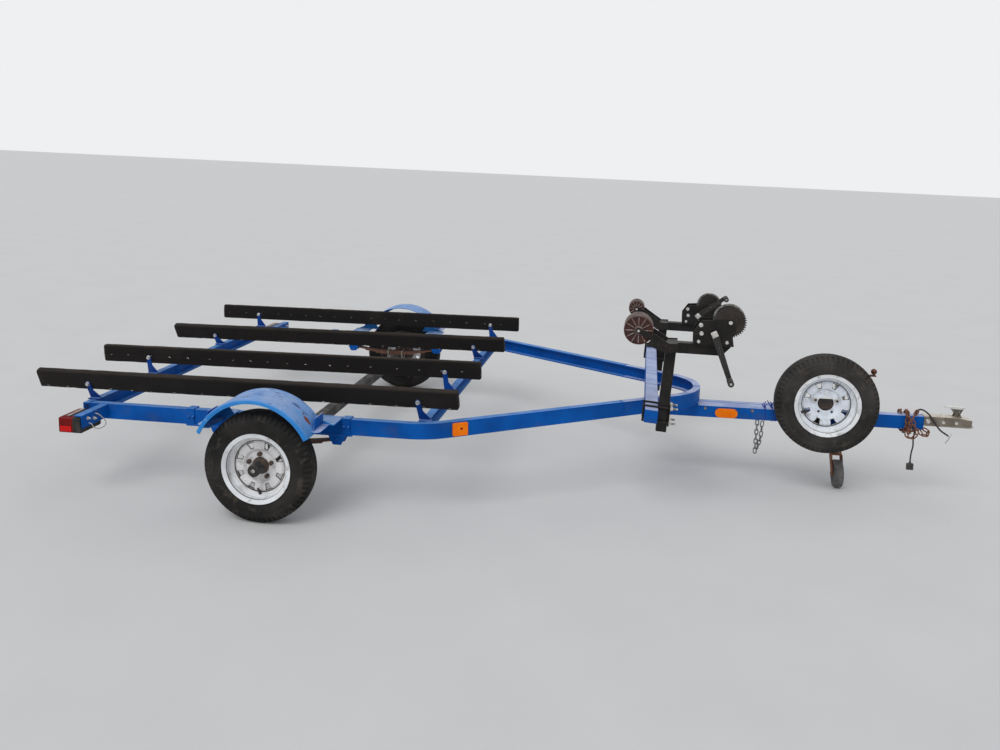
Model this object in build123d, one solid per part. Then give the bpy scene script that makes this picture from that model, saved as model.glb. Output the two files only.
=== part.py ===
from build123d import *
import os
from math import atan2, cos, degrees, pi, radians, sin, sqrt, tan

os.makedirs("parts", exist_ok=True)

# A two-place trailer for small watercraft: a hairpin frame of bent channel on one sprung axle,
# four carpeted bunks, two winch stands on a cross bar, a long tongue with spare, jack and coupler.
# Millimetres. +X forward to the coupler, +Y to the trailer's left, +Z up.
# Everything is laid out on a level frame with the ground at Z = 0 under the axle. At the end the
# whole trailer is tipped nose up about the axle, as it stands on its jack.
NOSE_UP = 1.8

# Wheels and axle
TYRE_R = 265.0
TYRE_W = 122.0
BEAD_R = 152.0
RIM_LIP_R = 168.0
TRACK = 1205.0
BEAM = 50.8

# Hairpin frame: channel 76 x 38
CH_H = 76.0
CH_W = 38.0
CH_WEB = 5.0
CH_FLANGE = 6.0
RAIL_Y = 1003.0
RAIL_TOP = 445.0
RAIL_REAR = -1006.0
RAIL_SPLIT = 1640.0
BEND_ANGLE = 33.0
BEND_R = 320.0
NOSE_X = 1765.0
NOSE_R = 285.0
# the runs in to the nose touch its round end, which fixes where the rails bend
BEND_X = NOSE_X + NOSE_R * sin(radians(BEND_ANGLE)) - (
    (RAIL_Y - NOSE_R * cos(radians(BEND_ANGLE))) / tan(radians(BEND_ANGLE)))

# Cross channels and bunks
CROSS_REAR_X = -1044.1
CROSS_FRONT_X = 690.0
BUNK_H = 96.0
BUNK_T = 40.0
BUNK_CORNER_R = 12.0
BUNK_FRONT = 880.0
BUNK_REAR = -1333.0
# the boards climb a little towards the front
BUNK_RISE = 0.3
# Y and Z of the board's middle over the axle; lean, plus with the top to the left; toe, minus with the
# front end nearer the middle; both in degrees, for nobody set the four alike. Last, the height over the
# front cross channel at which its front bracket stands: one reaches out on to the rail.
BUNKS = [
    (-933.5, 552.0, -21.0, 0.0, 0.0),
    (-380.0, 556.0, -4.7, 0.0, 0.0),
    (382.5, 535.0, -27.0, 0.0, 0.0),
    (1009.0, 546.0, 3.6, -2.0, CH_FLANGE + 0.05),
]

# Cross bar and winch stands
BAR_X = 1776.0
BAR = 63.5
BAR_HALF = 762.0
POST = 50.8
STAND_Y = 673.0
ARM_FRONT = 2138.0
# name, side, Z of the arm's underside, foot of the post below it
STANDS = [("right", -1, 781.0, 391.0), ("left", 1, 623.0, 391.0)]

# Tongue
TONGUE_TOP = 350.0
TONGUE_W = 50.8
TONGUE_H = 76.2
TUBE_WALL = 4.0
TONGUE_REAR = 1745.0
TONGUE_FRONT = 3222.0
SIDE_H = 63.5
SIDE_W = 38.0
SIDE_FRONT = 2560.0
BALL_R = 25.9

# Jack and spare
JACK_X = 2809.0
JACK_Y = 78.0
CASTER_R = 75.0
CASTER_W = 44.0
CASTER_TRAIL = 62.0
CASTER_PIN_R = 6.0
CASTER_DISH = 7.0
SPARE_X = 2693.0
SPARE_Y = -146.0
SPARE_Z = 425.0


def block(x, y, z):
    """Box between two corners given as (low, high) pairs."""
    size = (x[1] - x[0], y[1] - y[0], z[1] - z[0])
    return Pos((x[0] + x[1]) / 2, (y[0] + y[1]) / 2, (z[0] + z[1]) / 2) * Box(*size)


def rod_y(radius, x, y, z):
    """Cylinder along Y between y[0] and y[1]."""
    return Pos(x, (y[0] + y[1]) / 2, z) * Rot(X=90) * Cylinder(radius, y[1] - y[0])


def rod_x(radius, x, y, z):
    return Pos((x[0] + x[1]) / 2, y, z) * Rot(Y=90) * Cylinder(radius, x[1] - x[0])


def rod_z(radius, x, y, z):
    return Pos(x, y, (z[0] + z[1]) / 2) * Cylinder(radius, z[1] - z[0])


def plate_xz(points, y):
    """Plate with an outline in X and Z, from y[0] to y[1]."""
    outline = make_face(Polyline(*[(px, 0, pz) for px, pz in points], close=True))
    return extrude(Pos(0, y[0], 0) * outline, amount=y[1] - y[0], dir=(0, 1, 0))


def spun_y(points, y=0.0, x=0.0, z=0.0):
    """Solid of revolution about a line along Y: points are (radius, Y)."""
    profile = make_face(Polyline(*[(r, py, 0) for r, py in points], close=True))
    return Pos(x, y, z) * revolve(profile, Axis.Y, 360)


def mirrored(shape):
    return mirror(shape, Plane.XZ)


nodes = {}


def keep(name, *shapes):
    """Store a node: its solids, tipped nose up about the axle."""
    tip = Pos(0, 0, TYRE_R) * Rot(Y=-NOSE_UP) * Pos(0, 0, -TYRE_R)
    nodes[name] = [tip * solid for shape in shapes for solid in shape.solids()]


# Hairpin: C section swept along the outer face, flanges inwards
def channel_face(start, heading, inward, top, height=CH_H, width=CH_W):
    """C section at a point of the path. heading is the path's direction, inward the flanges'."""
    low, high = top - height - start.Z, top - start.Z
    t = CH_FLANGE
    outline = [
        (0, low), (width, low), (width, low + t), (CH_WEB, low + t),
        (CH_WEB, high - t), (width, high - t), (width, high), (0, high),
    ]
    points = [start + inward * u + Vector(0, 0, v) for u, v in outline]
    return make_face(Polyline(*points, close=True))


def hairpin_rail(side):
    """One side rail: straight, the bend, then the run in to the nose."""
    turn = radians(BEND_ANGLE)
    setback = BEND_R * tan(turn / 2)
    corner = Vector(BEND_X, side * RAIL_Y, 0)
    run_in = Vector(cos(turn), -side * sin(turn), 0)
    start = Vector(RAIL_REAR, side * RAIL_Y, 0)
    bend_in = corner - Vector(setback, 0, 0)
    bend_out = corner + run_in * setback
    end = corner + run_in * ((RAIL_SPLIT - BEND_X) / cos(turn) - 0.1)
    first = Line(start, bend_in)
    bend = TangentArc(bend_in, bend_out, tangent=(1, 0, 0))
    last = Line(bend_out, end)
    face = channel_face(start, Vector(1, 0, 0), Vector(0, -side, 0), RAIL_TOP)
    return sweep(face, path=Wire([first, bend, last]))


def nose_bend():
    """The nose: both runs in and the half round that joins them."""
    turn = radians(BEND_ANGLE)
    tangent_x = NOSE_X + NOSE_R * sin(turn)
    tangent_y = NOSE_R * cos(turn)
    reach = (tangent_x - RAIL_SPLIT) / cos(turn)
    out = Vector(-cos(turn), -sin(turn), 0)
    right = Vector(tangent_x, -tangent_y, 0)
    left = Vector(tangent_x, tangent_y, 0)
    start = right + out * reach
    end = left + Vector(out.X, -out.Y, 0) * reach
    first = Line(start, right)
    arc = ThreePointArc(right, (NOSE_X + NOSE_R, 0, 0), left)
    last = Line(left, end)
    inward = Vector(-sin(turn), cos(turn), 0)
    face = channel_face(start, out * -1, inward, RAIL_TOP)
    return sweep(face, path=Wire([first, arc, last]))


keep("nose", nose_bend())


# Cross channels: web to the rear, flanges forward
def cross_channel(x, half, top, height):
    start = Vector(x, -half, 0)
    face = channel_face(start, Vector(0, 1, 0), Vector(1, 0, 0), top, height)
    return extrude(face, amount=2 * half, dir=(0, 1, 0))


NEST = 0.05
BEND_ROOM = 12.0
front_height = CH_H - 2 * CH_FLANGE - 2 * NEST
front_top = RAIL_TOP - CH_FLANGE - NEST
front_half = RAIL_Y - CH_WEB - BEND_ROOM
keep("crossmember_front", cross_channel(CROSS_FRONT_X, front_half, front_top, front_height))


# Bunks: boards on edge, each set with its own lean and toe
def as_set(shape, y, z, lean, toe):
    """Shape laid out beside a level board, brought to the way that board leans and toes."""
    shape = Pos(0, y, z) * Rot(X=-lean) * Pos(0, -y, -z) * shape
    return Pos(0, y, 0) * Rot(Z=toe) * Pos(0, -y, 0) * shape


def bunk(y, z, lean, toe, _):
    half_t, half_h = BUNK_T / 2, BUNK_H / 2
    board = block((BUNK_REAR, BUNK_FRONT), (y - half_t, y + half_t), (z - half_h, z + half_h))
    board = fillet(board.edges().filter_by(Axis.X), BUNK_CORNER_R)
    board = Pos(0, 0, z) * Rot(Y=-BUNK_RISE) * Pos(0, 0, -z) * board
    return as_set(board, y, z, lean, toe)


# Bunk brackets: a foot on the cross channel, a slim upright on the board's right face, and a gusset
BRACKET_T = 5.0
BRACKET_BOLT_DROP = 12.0
BRACKET_TOP_W = 26.0
BRACKET_FOOT_W = 30.0
GUSSET_REACH = 30.0
GUSSET_TOP = 56.0
# how far the upright is laid out below the channel's top, to be cut off level with it
BRACKET_SPARE = 30.0
# X of the upright's foot, X of its bolt, top of the channel it stands on
BRACKET_ROWS = [(-1041.0, -1050.0, RAIL_TOP), (700.0, 684.0, front_top)]


def bunk_bracket(y, z, lean, toe, foot_x, bolt_x, base_z):
    face_y = y - BUNK_T / 2 - 0.3
    bolt_z = z + bolt_x * tan(radians(BUNK_RISE)) - BRACKET_BOLT_DROP
    half_foot, half_top = BRACKET_FOOT_W / 2, BRACKET_TOP_W / 2
    low = base_z - BRACKET_SPARE
    face = (face_y - BRACKET_T, face_y)
    upright = plate_xz([(foot_x - half_foot, low), (foot_x + half_foot, low),
                        (bolt_x + half_top, bolt_z), (bolt_x - half_top, bolt_z)], face)
    upright = upright + rod_y(half_top, bolt_x, face, bolt_z)
    tip_x = foot_x + half_foot + GUSSET_REACH
    upright = upright + plate_xz([(foot_x - half_foot, low), (tip_x, low), (tip_x, base_z + 4),
                                  (foot_x + 2, base_z + GUSSET_TOP)], face)
    lean_turn = radians(lean)
    foot_y = y - (y - face_y) / cos(lean_turn) - (z - base_z) * tan(lean_turn)
    foot = block((foot_x - half_foot, tip_x), (foot_y - 34, foot_y + 2), (base_z, base_z + BRACKET_T))
    below = block((foot_x - 90, foot_x + 110), (foot_y - 90, foot_y + 90), (base_z - 90, base_z))
    foot = as_set(foot, y, z, 0, toe)
    below = as_set(below, y, z, 0, toe)
    return as_set(upright, y, z, lean, toe) + foot - below


def brackets_of(y, z, lean, toe, rise):
    for foot_x, bolt_x, base_z in BRACKET_ROWS:
        at_front = bolt_x > 0
        yield bunk_bracket(y, z, lean, toe, foot_x, bolt_x, base_z + (rise if at_front else 0))


keep("bunks", *[bunk(*row) for row in BUNKS])
keep("bunk_brackets", *[bracket for board in BUNKS for bracket in brackets_of(*board)])

# Running gear
SPRING_Y = 984.0
SPRING_W = 44.0
SPRING_HALF = 300.0
LEAF_T = 7.0
SPRING_R = 1730.0
SEAT_T = 8.0
spring_low = TYRE_R + BEAM / 2 + SEAT_T


def leaf(half, layer):
    """One leaf, bent to an arc about the same centre as its neighbours."""
    centre = spring_low + SPRING_R
    radii = (SPRING_R - layer * LEAF_T, SPRING_R - (layer + 1) * LEAF_T)
    ends = [centre - sqrt(r * r - half * half) for r in radii]
    lower = ThreePointArc((-half, 0, ends[0]), (0, 0, centre - radii[0]), (half, 0, ends[0]))
    upper = ThreePointArc((half, 0, ends[1]), (0, 0, centre - radii[1]), (-half, 0, ends[1]))
    face = make_face(Wire([lower, Line(lower @ 1, upper @ 0), upper, Line(upper @ 1, lower @ 0)]))
    return extrude(Pos(0, SPRING_Y - SPRING_W / 2, 0) * face, amount=SPRING_W, dir=(0, 1, 0)), ends


def leaf_spring():
    """Three leaves, the shortest lowest, with an eye rolled at the front of the top one."""
    pack = None
    for layer, half in enumerate((140.0, 220.0, SPRING_HALF)):
        piece, ends = leaf(half, layer)
        pack = piece if pack is None else pack + piece
    eye_z = sum(ends) / 2 + 2.0
    eye = rod_y(14, SPRING_HALF, (SPRING_Y - SPRING_W / 2, SPRING_Y + SPRING_W / 2), eye_z)
    bore = rod_y(8, SPRING_HALF, (SPRING_Y - SPRING_W, SPRING_Y + SPRING_W), eye_z)
    return pack + eye - bore, eye_z


spring, EYE_Z = leaf_spring()
keep("leaf_springs", spring, mirrored(spring))


SPINDLE_R = 21.0
# how far the beam and its spindles stop short of the middle of the tyre
BEAM_END = 72.0
SPINDLE_END = 39.5


def axle_beam():
    half = TRACK - BEAM_END
    beam = block((-BEAM / 2, BEAM / 2), (-half, half), (TYRE_R - BEAM / 2, TYRE_R + BEAM / 2))
    for side in (-1, 1):
        inner, outer = sorted((side * half, side * (TRACK - SPINDLE_END - 0.5)))
        beam = beam + rod_y(SPINDLE_R, 0, (inner, outer), TYRE_R)
        seat = block((-45, 45), (side * SPRING_Y - 25, side * SPRING_Y + 25),
                     (TYRE_R + BEAM / 2 - 1, spring_low))
        tie = block((-60, 60), (side * SPRING_Y - 38, side * SPRING_Y + 38),
                    (TYRE_R - BEAM / 2 - 7, TYRE_R - BEAM / 2))
        beam = beam + seat + tie
    return beam


keep("axle_beam", axle_beam())

# Undercarriage: a plate under each rail that carries the spring hangers, clamped to the rail by straps
HANGER_T = 5.0
STRAP_T = 5.0
CARRIER_X = (-482.0, 372.0)
STRAPS = (-457.0, 345.0)
under_rail = RAIL_TOP - CH_H
# X of the middle, bottom of the cheeks, height of the bolt or of the pin that the spring slides on
HANGERS = [(SPRING_HALF, EYE_Z - 24.0, EYE_Z), (-SPRING_HALF - 6.0, EYE_Z - 30.0, EYE_Z - 22.0)]


def spring_hanger(x, low, pin_z):
    """Two cheeks below the carrier plate with a bolt across them."""
    gap = SPRING_W / 2 + 2.0
    body = rod_y(7.9, x, (SPRING_Y - gap - 14, SPRING_Y + gap + 14), pin_z)
    for near in (SPRING_Y - gap - HANGER_T, SPRING_Y + gap):
        cheek = plate_xz([(x - 44, under_rail - 3), (x + 44, under_rail - 3), (x + 20, low), (x - 20, low)],
                         (near, near + HANGER_T))
        body = body + cheek
    return body


def rail_strap(x):
    """Flat strap clamped round the rail and the carrier plate."""
    low, high = under_rail - 6.0, RAIL_TOP
    outer = block((x - 20, x + 20), (RAIL_Y - CH_W - 9, RAIL_Y + STRAP_T), (low, high + STRAP_T))
    inner = block((x - 21, x + 21), (RAIL_Y - CH_W - 4, RAIL_Y + 0.1), (low - 1, high + 0.1))
    return outer - inner


def undercarriage():
    body = block(CARRIER_X, (SPRING_Y - 30, RAIL_Y + STRAP_T), (under_rail - 6.1, under_rail - 0.1))
    for row in HANGERS:
        body = body + spring_hanger(*row)
    for x in STRAPS:
        body = body + rail_strap(x)
    return body


carrier = undercarriage()
keep("undercarriage", carrier, mirrored(carrier))

# Fenders: a rolled arc with a turned-down outer lip and the two arms that carry it
FENDER_Z = 306.0
FENDER_R = 300.0
FENDER_IN = 1103.0
FENDER_OUT = 1300.0
FENDER_HALF_ANGLE = 64.0
FENDER_T = 2.5
LIP_R = 14.0
LIP_DROP = 22.0


def fender():
    r, t = FENDER_R, FENDER_T
    y0, y1 = FENDER_IN, FENDER_OUT
    top = Line((y0, r), (y1 - LIP_R, r))
    roll = TangentArc((y1 - LIP_R, r), (y1, r - LIP_R), tangent=(1, 0))
    down = Line((y1, r - LIP_R), (y1, r - LIP_DROP))
    foot = Line((y1, r - LIP_DROP), (y1 - t, r - LIP_DROP))
    up = Line((y1 - t, r - LIP_DROP), (y1 - t, r - LIP_R))
    inner = TangentArc((y1 - t, r - LIP_R), (y1 - LIP_R, r - t), tangent=(0, 1))
    back = Line((y1 - LIP_R, r - t), (y0, r - t))
    end = Line((y0, r - t), (y0, r))
    face = make_face(Wire([top, roll, down, foot, up, inner, back, end]))
    face = Plane((0, 0, 0), x_dir=(0, 1, 0), z_dir=(1, 0, 0)) * face
    shell = revolve(face, Axis.Y, 2 * FENDER_HALF_ANGLE)
    return Pos(0, 0, FENDER_Z) * Rot(Y=-FENDER_HALF_ANGLE) * shell


ARM_W = 40.0
ARM_T = 5.0
arm_x = FENDER_R * sin(radians(FENDER_HALF_ANGLE)) - ARM_W / 2 - 6.0


def fender_arm(end):
    """Arm over the rail and under one end of the fender, with a web against its inside edge."""
    x = end * arm_x
    arm = block((x - ARM_W / 2, x + ARM_W / 2), (RAIL_Y - CH_W, FENDER_OUT - 40),
                (RAIL_TOP + 0.1, RAIL_TOP + ARM_T))
    reach = FENDER_R * sin(radians(FENDER_HALF_ANGLE))
    web = plate_xz([(end * (reach + 52), RAIL_TOP + 1), (end * (reach - 110), RAIL_TOP + 1),
                    (end * (reach - 60), RAIL_TOP + 68), (end * (reach - 18), RAIL_TOP + 28)],
                   (FENDER_IN - 5, FENDER_IN + 0.5))
    tail = block(tuple(sorted((end * (reach - 60), end * (reach + 52)))), (RAIL_Y - 30, FENDER_IN - 1),
                 (RAIL_TOP + 0.1, RAIL_TOP + ARM_T))
    return arm + web + tail


fender_left = fender() + fender_arm(-1) + fender_arm(1)
keep("fender_left", fender_left)
keep("fender_right", mirrored(fender_left))

# Wheels: rim spun from an outline, then a disc with eight hand holes and five stud holes
RIM_HALF = 57.0
RIM_T = 4.0
DISC_T = 4.0
PILOT_R = 41.0
# the disc's flat middle, then the ring that stands proud of it and carries the windows
DISC_FLAT_R = 70.0
RING_IN = 82.0
RING_OUT = 112.0
RING_RISE = 10.0
RING_CROWN = 14.0
STUD_PCD = 114.3
STUDS = 5
STUD_R = 6.3
WINDOWS = 8
WINDOW_IN = 88.0
WINDOW_OUT = 116.0
WINDOW_APEX_W = 16.0
WINDOW_BASE_W = 34.0
DROP_R = 130.0


def rim():
    """Rim with its disc, in wheel axes: +Y is the street side, Y = 0 the middle."""
    h, t = RIM_HALF, RIM_T
    outer = [(RIM_LIP_R, h), (RIM_LIP_R, h - 3), (BEAD_R + 2, h - 9), (BEAD_R, h - 14), (BEAD_R - 2, 22),
             (DROP_R, 12), (DROP_R, -14), (BEAD_R - 2, -26), (BEAD_R, -h + 14), (BEAD_R + 2, -h + 9),
             (RIM_LIP_R, -h + 3), (RIM_LIP_R, -h)]
    inner = [(BEAD_R - t, -h + 6), (BEAD_R - t - 2, -24), (DROP_R - t, -14), (DROP_R - t, 12),
             (BEAD_R - t - 2, 20), (BEAD_R - t, h - 6)]
    barrel = spun_y(outer + inner)
    street = [(PILOT_R, 0), (DISC_FLAT_R, 0), (RING_IN, RING_RISE), (RING_OUT, RING_CROWN), (DROP_R - 1, 2)]
    hidden = [(DROP_R - 1, 2 - DISC_T), (RING_OUT, RING_CROWN - DISC_T), (RING_IN + 2, RING_RISE - DISC_T),
              (DISC_FLAT_R + 1, -DISC_T), (PILOT_R, -DISC_T)]
    disc = spun_y(street + hidden)
    narrow, wide = WINDOW_APEX_W / 2, WINDOW_BASE_W / 2
    window = make_face(Polyline((-narrow, 0, WINDOW_IN), (narrow, 0, WINDOW_IN), (wide, 0, WINDOW_OUT),
                                (-wide, 0, WINDOW_OUT), close=True))
    window = extrude(Pos(0, -20, 0) * window, amount=60, dir=(0, 1, 0))
    for k in range(WINDOWS):
        disc = disc - Rot(Y=(k + 0.5) * 360 / WINDOWS) * window
    stud = rod_y(STUD_R + 0.5, 0, (-20, 20), STUD_PCD / 2)
    for k in range(STUDS):
        disc = disc - Rot(Y=k * 360 / STUDS) * stud
    return barrel + disc


def tyre():
    """Closed ring with rounded sidewalls and a flat crown."""
    w = TYRE_W / 2
    # radius and half width, from the bead out to the crown
    half = [(BEAD_R + 0.3, 41), (BEAD_R + 2.6, 46.5), (RIM_LIP_R - 1, 52), (194, w - 3), (216, w),
            (240, w - 6), (257, w - 18), (TYRE_R, w - 34)]
    return spun_y(half + [(r, -y) for r, y in reversed(half)])


HUB_R = 33.0
HUB_BACK = -64.0
HUB_FLANGE_R = 70.0
# the dust cap stands well out of the hub, on the street side
CAP_R = 22.0
CAP_BACK = 26.0
CAP_END = 57.0
NUT_AF = 19.0
NUT_L = 16.0


def hub():
    """Hub in wheel axes: barrel, flange behind the disc, studs with nuts, dust cap."""
    seat = -DISC_T - 0.1
    bore = SPINDLE_R + 0.05
    behind = [(bore, HUB_BACK), (HUB_R + 4, HUB_BACK), (HUB_R + 6, HUB_BACK + 34),
              (HUB_FLANGE_R, seat - 12), (HUB_FLANGE_R, seat), (PILOT_R - 1, seat)]
    barrel = [(PILOT_R - 1, 4), (HUB_R - 2, CAP_BACK - 2)]
    cap = [(CAP_R + 2, CAP_BACK), (CAP_R + 2, CAP_BACK + 4), (CAP_R, CAP_BACK + 6), (CAP_R, CAP_END - 5),
           (CAP_R - 6, CAP_END), (0, CAP_END)]
    body = spun_y(behind + barrel + cap + [(0, -SPINDLE_END), (bore, -SPINDLE_END)])
    nut = extrude(RegularPolygon(NUT_AF / 2, 6, major_radius=False), amount=NUT_L)
    nut = Pos(0, 0.1, STUD_PCD / 2) * Rot(X=-90) * nut
    stud = rod_y(STUD_R, 0, (-DISC_T - 2, NUT_L + 4), STUD_PCD / 2)
    for k in range(STUDS):
        body = body + Rot(Y=k * 360 / STUDS) * (nut + stud)
    return body


rim_shape, tyre_shape, hub_shape = rim(), tyre(), hub()
for name, side in (("right", -1), ("left", 1)):
    place = Pos(0, side * TRACK, TYRE_R) * (Rot(Z=180) if side < 0 else Pos(0, 0, 0))
    keep("tyre_" + name, place * tyre_shape)
    keep("rim_" + name, place * rim_shape)
    keep("hub_" + name, place * hub_shape)

# Tail lamps outboard of the rail ends. The lens is the rear face and wraps round the outer end.
LAMP_X = (-1023.0, -909.1)
LAMP_Y = (1062.0, 1222.0)
LAMP_Z = (360.0, 434.0)
LAMP_CORNER_R = 8.0
LENS_BACK = 18.0
LENS_SIDE = 30.0
LENS_DEPTH = 74.0
SHELF_Y = 1212.0
SHELF_T = 5.0


def lamp():
    """Lens and housing, which share one rounded outline and part at the lens's stepped edge."""
    whole = block(LAMP_X, LAMP_Y, LAMP_Z)
    whole = fillet(whole.edges().filter_by(Axis.X), LAMP_CORNER_R)
    rear, outer = LAMP_X[0], LAMP_Y[1]
    tall = (LAMP_Z[0] - 1, LAMP_Z[1] + 1)
    back = block((rear - 1, rear + LENS_BACK), (LAMP_Y[0] - 1, outer + 1), tall)
    side = block((rear - 1, rear + LENS_DEPTH), (outer - LENS_SIDE, outer + 1), tall)
    lens_room = back + side
    lens = whole & lens_room
    lens = chamfer(lens.faces().sort_by(Axis.X)[0].edges(), 3)
    return lens, whole - lens_room


def lamp_shelf():
    """Angle welded to the rail's web: a flange over the lamp and a leg in front of it."""
    front = LAMP_X[1] + 0.1 + SHELF_T
    top = block((front - 41, front), (RAIL_Y - 1, SHELF_Y), (RAIL_TOP - SHELF_T, RAIL_TOP))
    leg = block((front - SHELF_T, front), (RAIL_Y - 1, SHELF_Y), (LAMP_Z[0] + 22, RAIL_TOP))
    return top + leg


lens, housing = lamp()
shelf = lamp_shelf()
keep("rail_left", hairpin_rail(1) + shelf)
keep("rail_right", hairpin_rail(-1) + mirrored(shelf))
keep("crossmember_rear", cross_channel(CROSS_REAR_X, RAIL_Y, RAIL_TOP, CH_H))
keep("tail_lamps", housing, mirrored(housing))
keep("lamp_lenses", lens, mirrored(lens))

# Amber lamps: square side markers on the rails, oblong reflectors on the tongue's side channels
MARKER_X = 880.0
MARKER_Z = 408.0
REFLECTOR_X = 2193.0
REFLECTOR_Z = 315.0


def side_marker():
    out = RAIL_Y - (MARKER_X - BEND_X) * tan(radians(BEND_ANGLE))
    body = Box(75, 14, 62)
    body = fillet(body.edges().filter_by(Axis.Y), 6)
    return Pos(MARKER_X, out, MARKER_Z) * Rot(Z=-BEND_ANGLE) * Pos(0, 7.1, 0) * body


def reflector():
    face = SlotOverall(120, 50)
    body = extrude(face, amount=8)
    return Pos(REFLECTOR_X, TONGUE_W / 2 + SIDE_W + 8.1, REFLECTOR_Z) * Rot(X=90) * body


markers = [side_marker(), reflector()]
keep("amber_lamps", *markers, *[mirrored(m) for m in markers])

# Cross bar: square tube with closed ends, lying on the hairpin's top. The bar, the posts and their
# clamps have all turned forward together, until the bar bears on its lower front edge.
POST_LEAN = 4.7
SETTLE = 0.35
bar_z = (RAIL_TOP + 0.1, RAIL_TOP + 0.1 + BAR)
BAR_WALL = 4.0


def turned_forward(shape):
    edge = (BAR_X + BAR / 2, RAIL_TOP + 0.1)
    return Pos(edge[0], 0, edge[1] - SETTLE) * Rot(Y=POST_LEAN) * Pos(-edge[0], 0, -edge[1]) * shape


bar = block((BAR_X - BAR / 2, BAR_X + BAR / 2), (-BAR_HALF, BAR_HALF), bar_z)
bar = fillet(bar.edges().filter_by(Axis.Y), 5)
bar = bar - block((BAR_X - BAR / 2 + BAR_WALL, BAR_X + BAR / 2 - BAR_WALL), (-BAR_HALF + 4, BAR_HALF - 4),
                  (bar_z[0] + BAR_WALL, bar_z[1] - BAR_WALL))
keep("crossbar", turned_forward(bar))

# Tongue: tube between two side channels, hung under the cross bar
tongue_low = TONGUE_TOP - TONGUE_H
tube = block((TONGUE_REAR, TONGUE_FRONT), (-TONGUE_W / 2, TONGUE_W / 2), (tongue_low, TONGUE_TOP))
tube = fillet(tube.edges().filter_by(Axis.X), 6)
tube_inner = TONGUE_W / 2 - TUBE_WALL
tube = tube - block((TONGUE_REAR - 1, TONGUE_FRONT + 1), (-tube_inner, tube_inner),
                    (tongue_low + TUBE_WALL, TONGUE_TOP - TUBE_WALL))
keep("tongue_tube", tube)


def side_channel():
    """Channel on the tube's left side, web outwards."""
    start = Vector(TONGUE_REAR, TONGUE_W / 2 + 0.1 + SIDE_W, 0)
    face = channel_face(start, Vector(1, 0, 0), Vector(0, -1, 0), TONGUE_TOP, SIDE_H, SIDE_W)
    return extrude(face, amount=SIDE_FRONT - TONGUE_REAR, dir=(1, 0, 0))


DROP_HALF = 28.0
DROP_T = 6.0
SPACER_L = 60.0


def drop_bracket():
    """Plate under the cross bar and nose, with two ears down the side channels."""
    outer = TONGUE_W / 2 + SIDE_W + 0.2
    under = RAIL_TOP - CH_H
    across = (BAR_X - DROP_HALF, BAR_X + DROP_HALF)
    ears = None
    for side in (-1, 1):
        ear = block(across, tuple(sorted((side * outer, side * (outer + DROP_T)))),
                    (TONGUE_TOP - SIDE_H + 6, RAIL_TOP))
        ears = ear if ears is None else ears + ear
    cap = block(across, (-outer - DROP_T, outer + DROP_T), (RAIL_TOP - DROP_T, RAIL_TOP))
    front = NOSE_X + NOSE_R - 10
    spacer = block((front - SPACER_L, front), (-outer, outer), (TONGUE_TOP + 0.1, under - 0.1))
    return ears + cap, spacer


side_beam = side_channel()
keep("tongue_sides", side_beam, mirrored(side_beam))
keep("tongue_brackets", *drop_bracket())

# Ball coupler: a pressed channel, open below, with a shank in the tongue's end and a turned-out lower lip.
# Its nose narrows in height over the ball and is round in plan.
COUPLER_REAR = TONGUE_FRONT + 0.3
COUPLER_HALF = 29.0
# where the channel's straight sides end and its top starts to fall to the nose
COUPLER_STRAIGHT_TO = 3385.0
COUPLER_FALL_FROM = 3398.0
COUPLER_T = 5.0
COUPLER_LOW = 302.0
COUPLER_LIP = 6.0
coupler_top = TONGUE_TOP + 2.0
BALL_X = 3435.0
HOUSING_R = 34.0
SOCKET_TOP = 320.0
SHANK = 62.0
SLEEVE = 26.0


def coupler_plan(grow, low, high):
    """Plan of the coupler, a channel that runs into the round of the ball's housing, as a solid."""
    length = COUPLER_STRAIGHT_TO - COUPLER_REAR
    channel = Pos(COUPLER_REAR + length / 2, 0) * Rectangle(length, 2 * (COUPLER_HALF + grow))
    housing = Pos(BALL_X, 0) * Circle(HOUSING_R + grow)
    plan = make_hull(channel.edges() + housing.edges())
    return Pos(0, 0, low) * extrude(plan, amount=high - low)


def coupler():
    nose_x = BALL_X + HOUSING_R + COUPLER_LIP
    side = plate_xz([(COUPLER_REAR, COUPLER_LOW), (nose_x, COUPLER_LOW), (nose_x, coupler_top - 26),
                     (nose_x - 14, coupler_top - 12), (COUPLER_FALL_FROM, coupler_top),
                     (COUPLER_REAR, coupler_top)], (-60, 60))
    body = side & coupler_plan(0, COUPLER_LOW, coupler_top)
    body = body + coupler_plan(COUPLER_LIP, COUPLER_LOW, COUPLER_LOW + 4)
    half = COUPLER_HALF - COUPLER_T
    body = body - block((COUPLER_REAR - 1, COUPLER_STRAIGHT_TO + 3), (-half, half),
                        (COUPLER_LOW - 1, coupler_top - COUPLER_T))
    dome = [(0, 0), (BALL_R, 0), (BALL_R, SOCKET_TOP - COUPLER_LOW + 1), (20, 30), (11, 35), (0, 36.5)]
    dome = make_face(Polyline(*[(r, 0, h) for r, h in dome], close=True))
    body = body - Pos(BALL_X, 0, COUPLER_LOW - 1) * revolve(dome, Axis.Z, 360)
    low = COUPLER_LOW + 4
    shank_y = TONGUE_W / 2 - TUBE_WALL - 0.3
    shank_top = TONGUE_TOP - TUBE_WALL - 0.3
    shank = block((TONGUE_FRONT - SHANK, COUPLER_REAR + 1), (-shank_y, shank_y), (low, shank_top))
    sleeve = block((COUPLER_REAR, COUPLER_REAR + SLEEVE), (-half - 0.5, half + 0.5),
                   (low, coupler_top - COUPLER_T + 0.5))
    hollow = block((TONGUE_FRONT - SHANK - 1, COUPLER_REAR + SLEEVE + 1),
                   (TUBE_WALL - shank_y, shank_y - TUBE_WALL), (COUPLER_LOW - 1, shank_top - TUBE_WALL))
    return body + (shank + sleeve - hollow)


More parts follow.
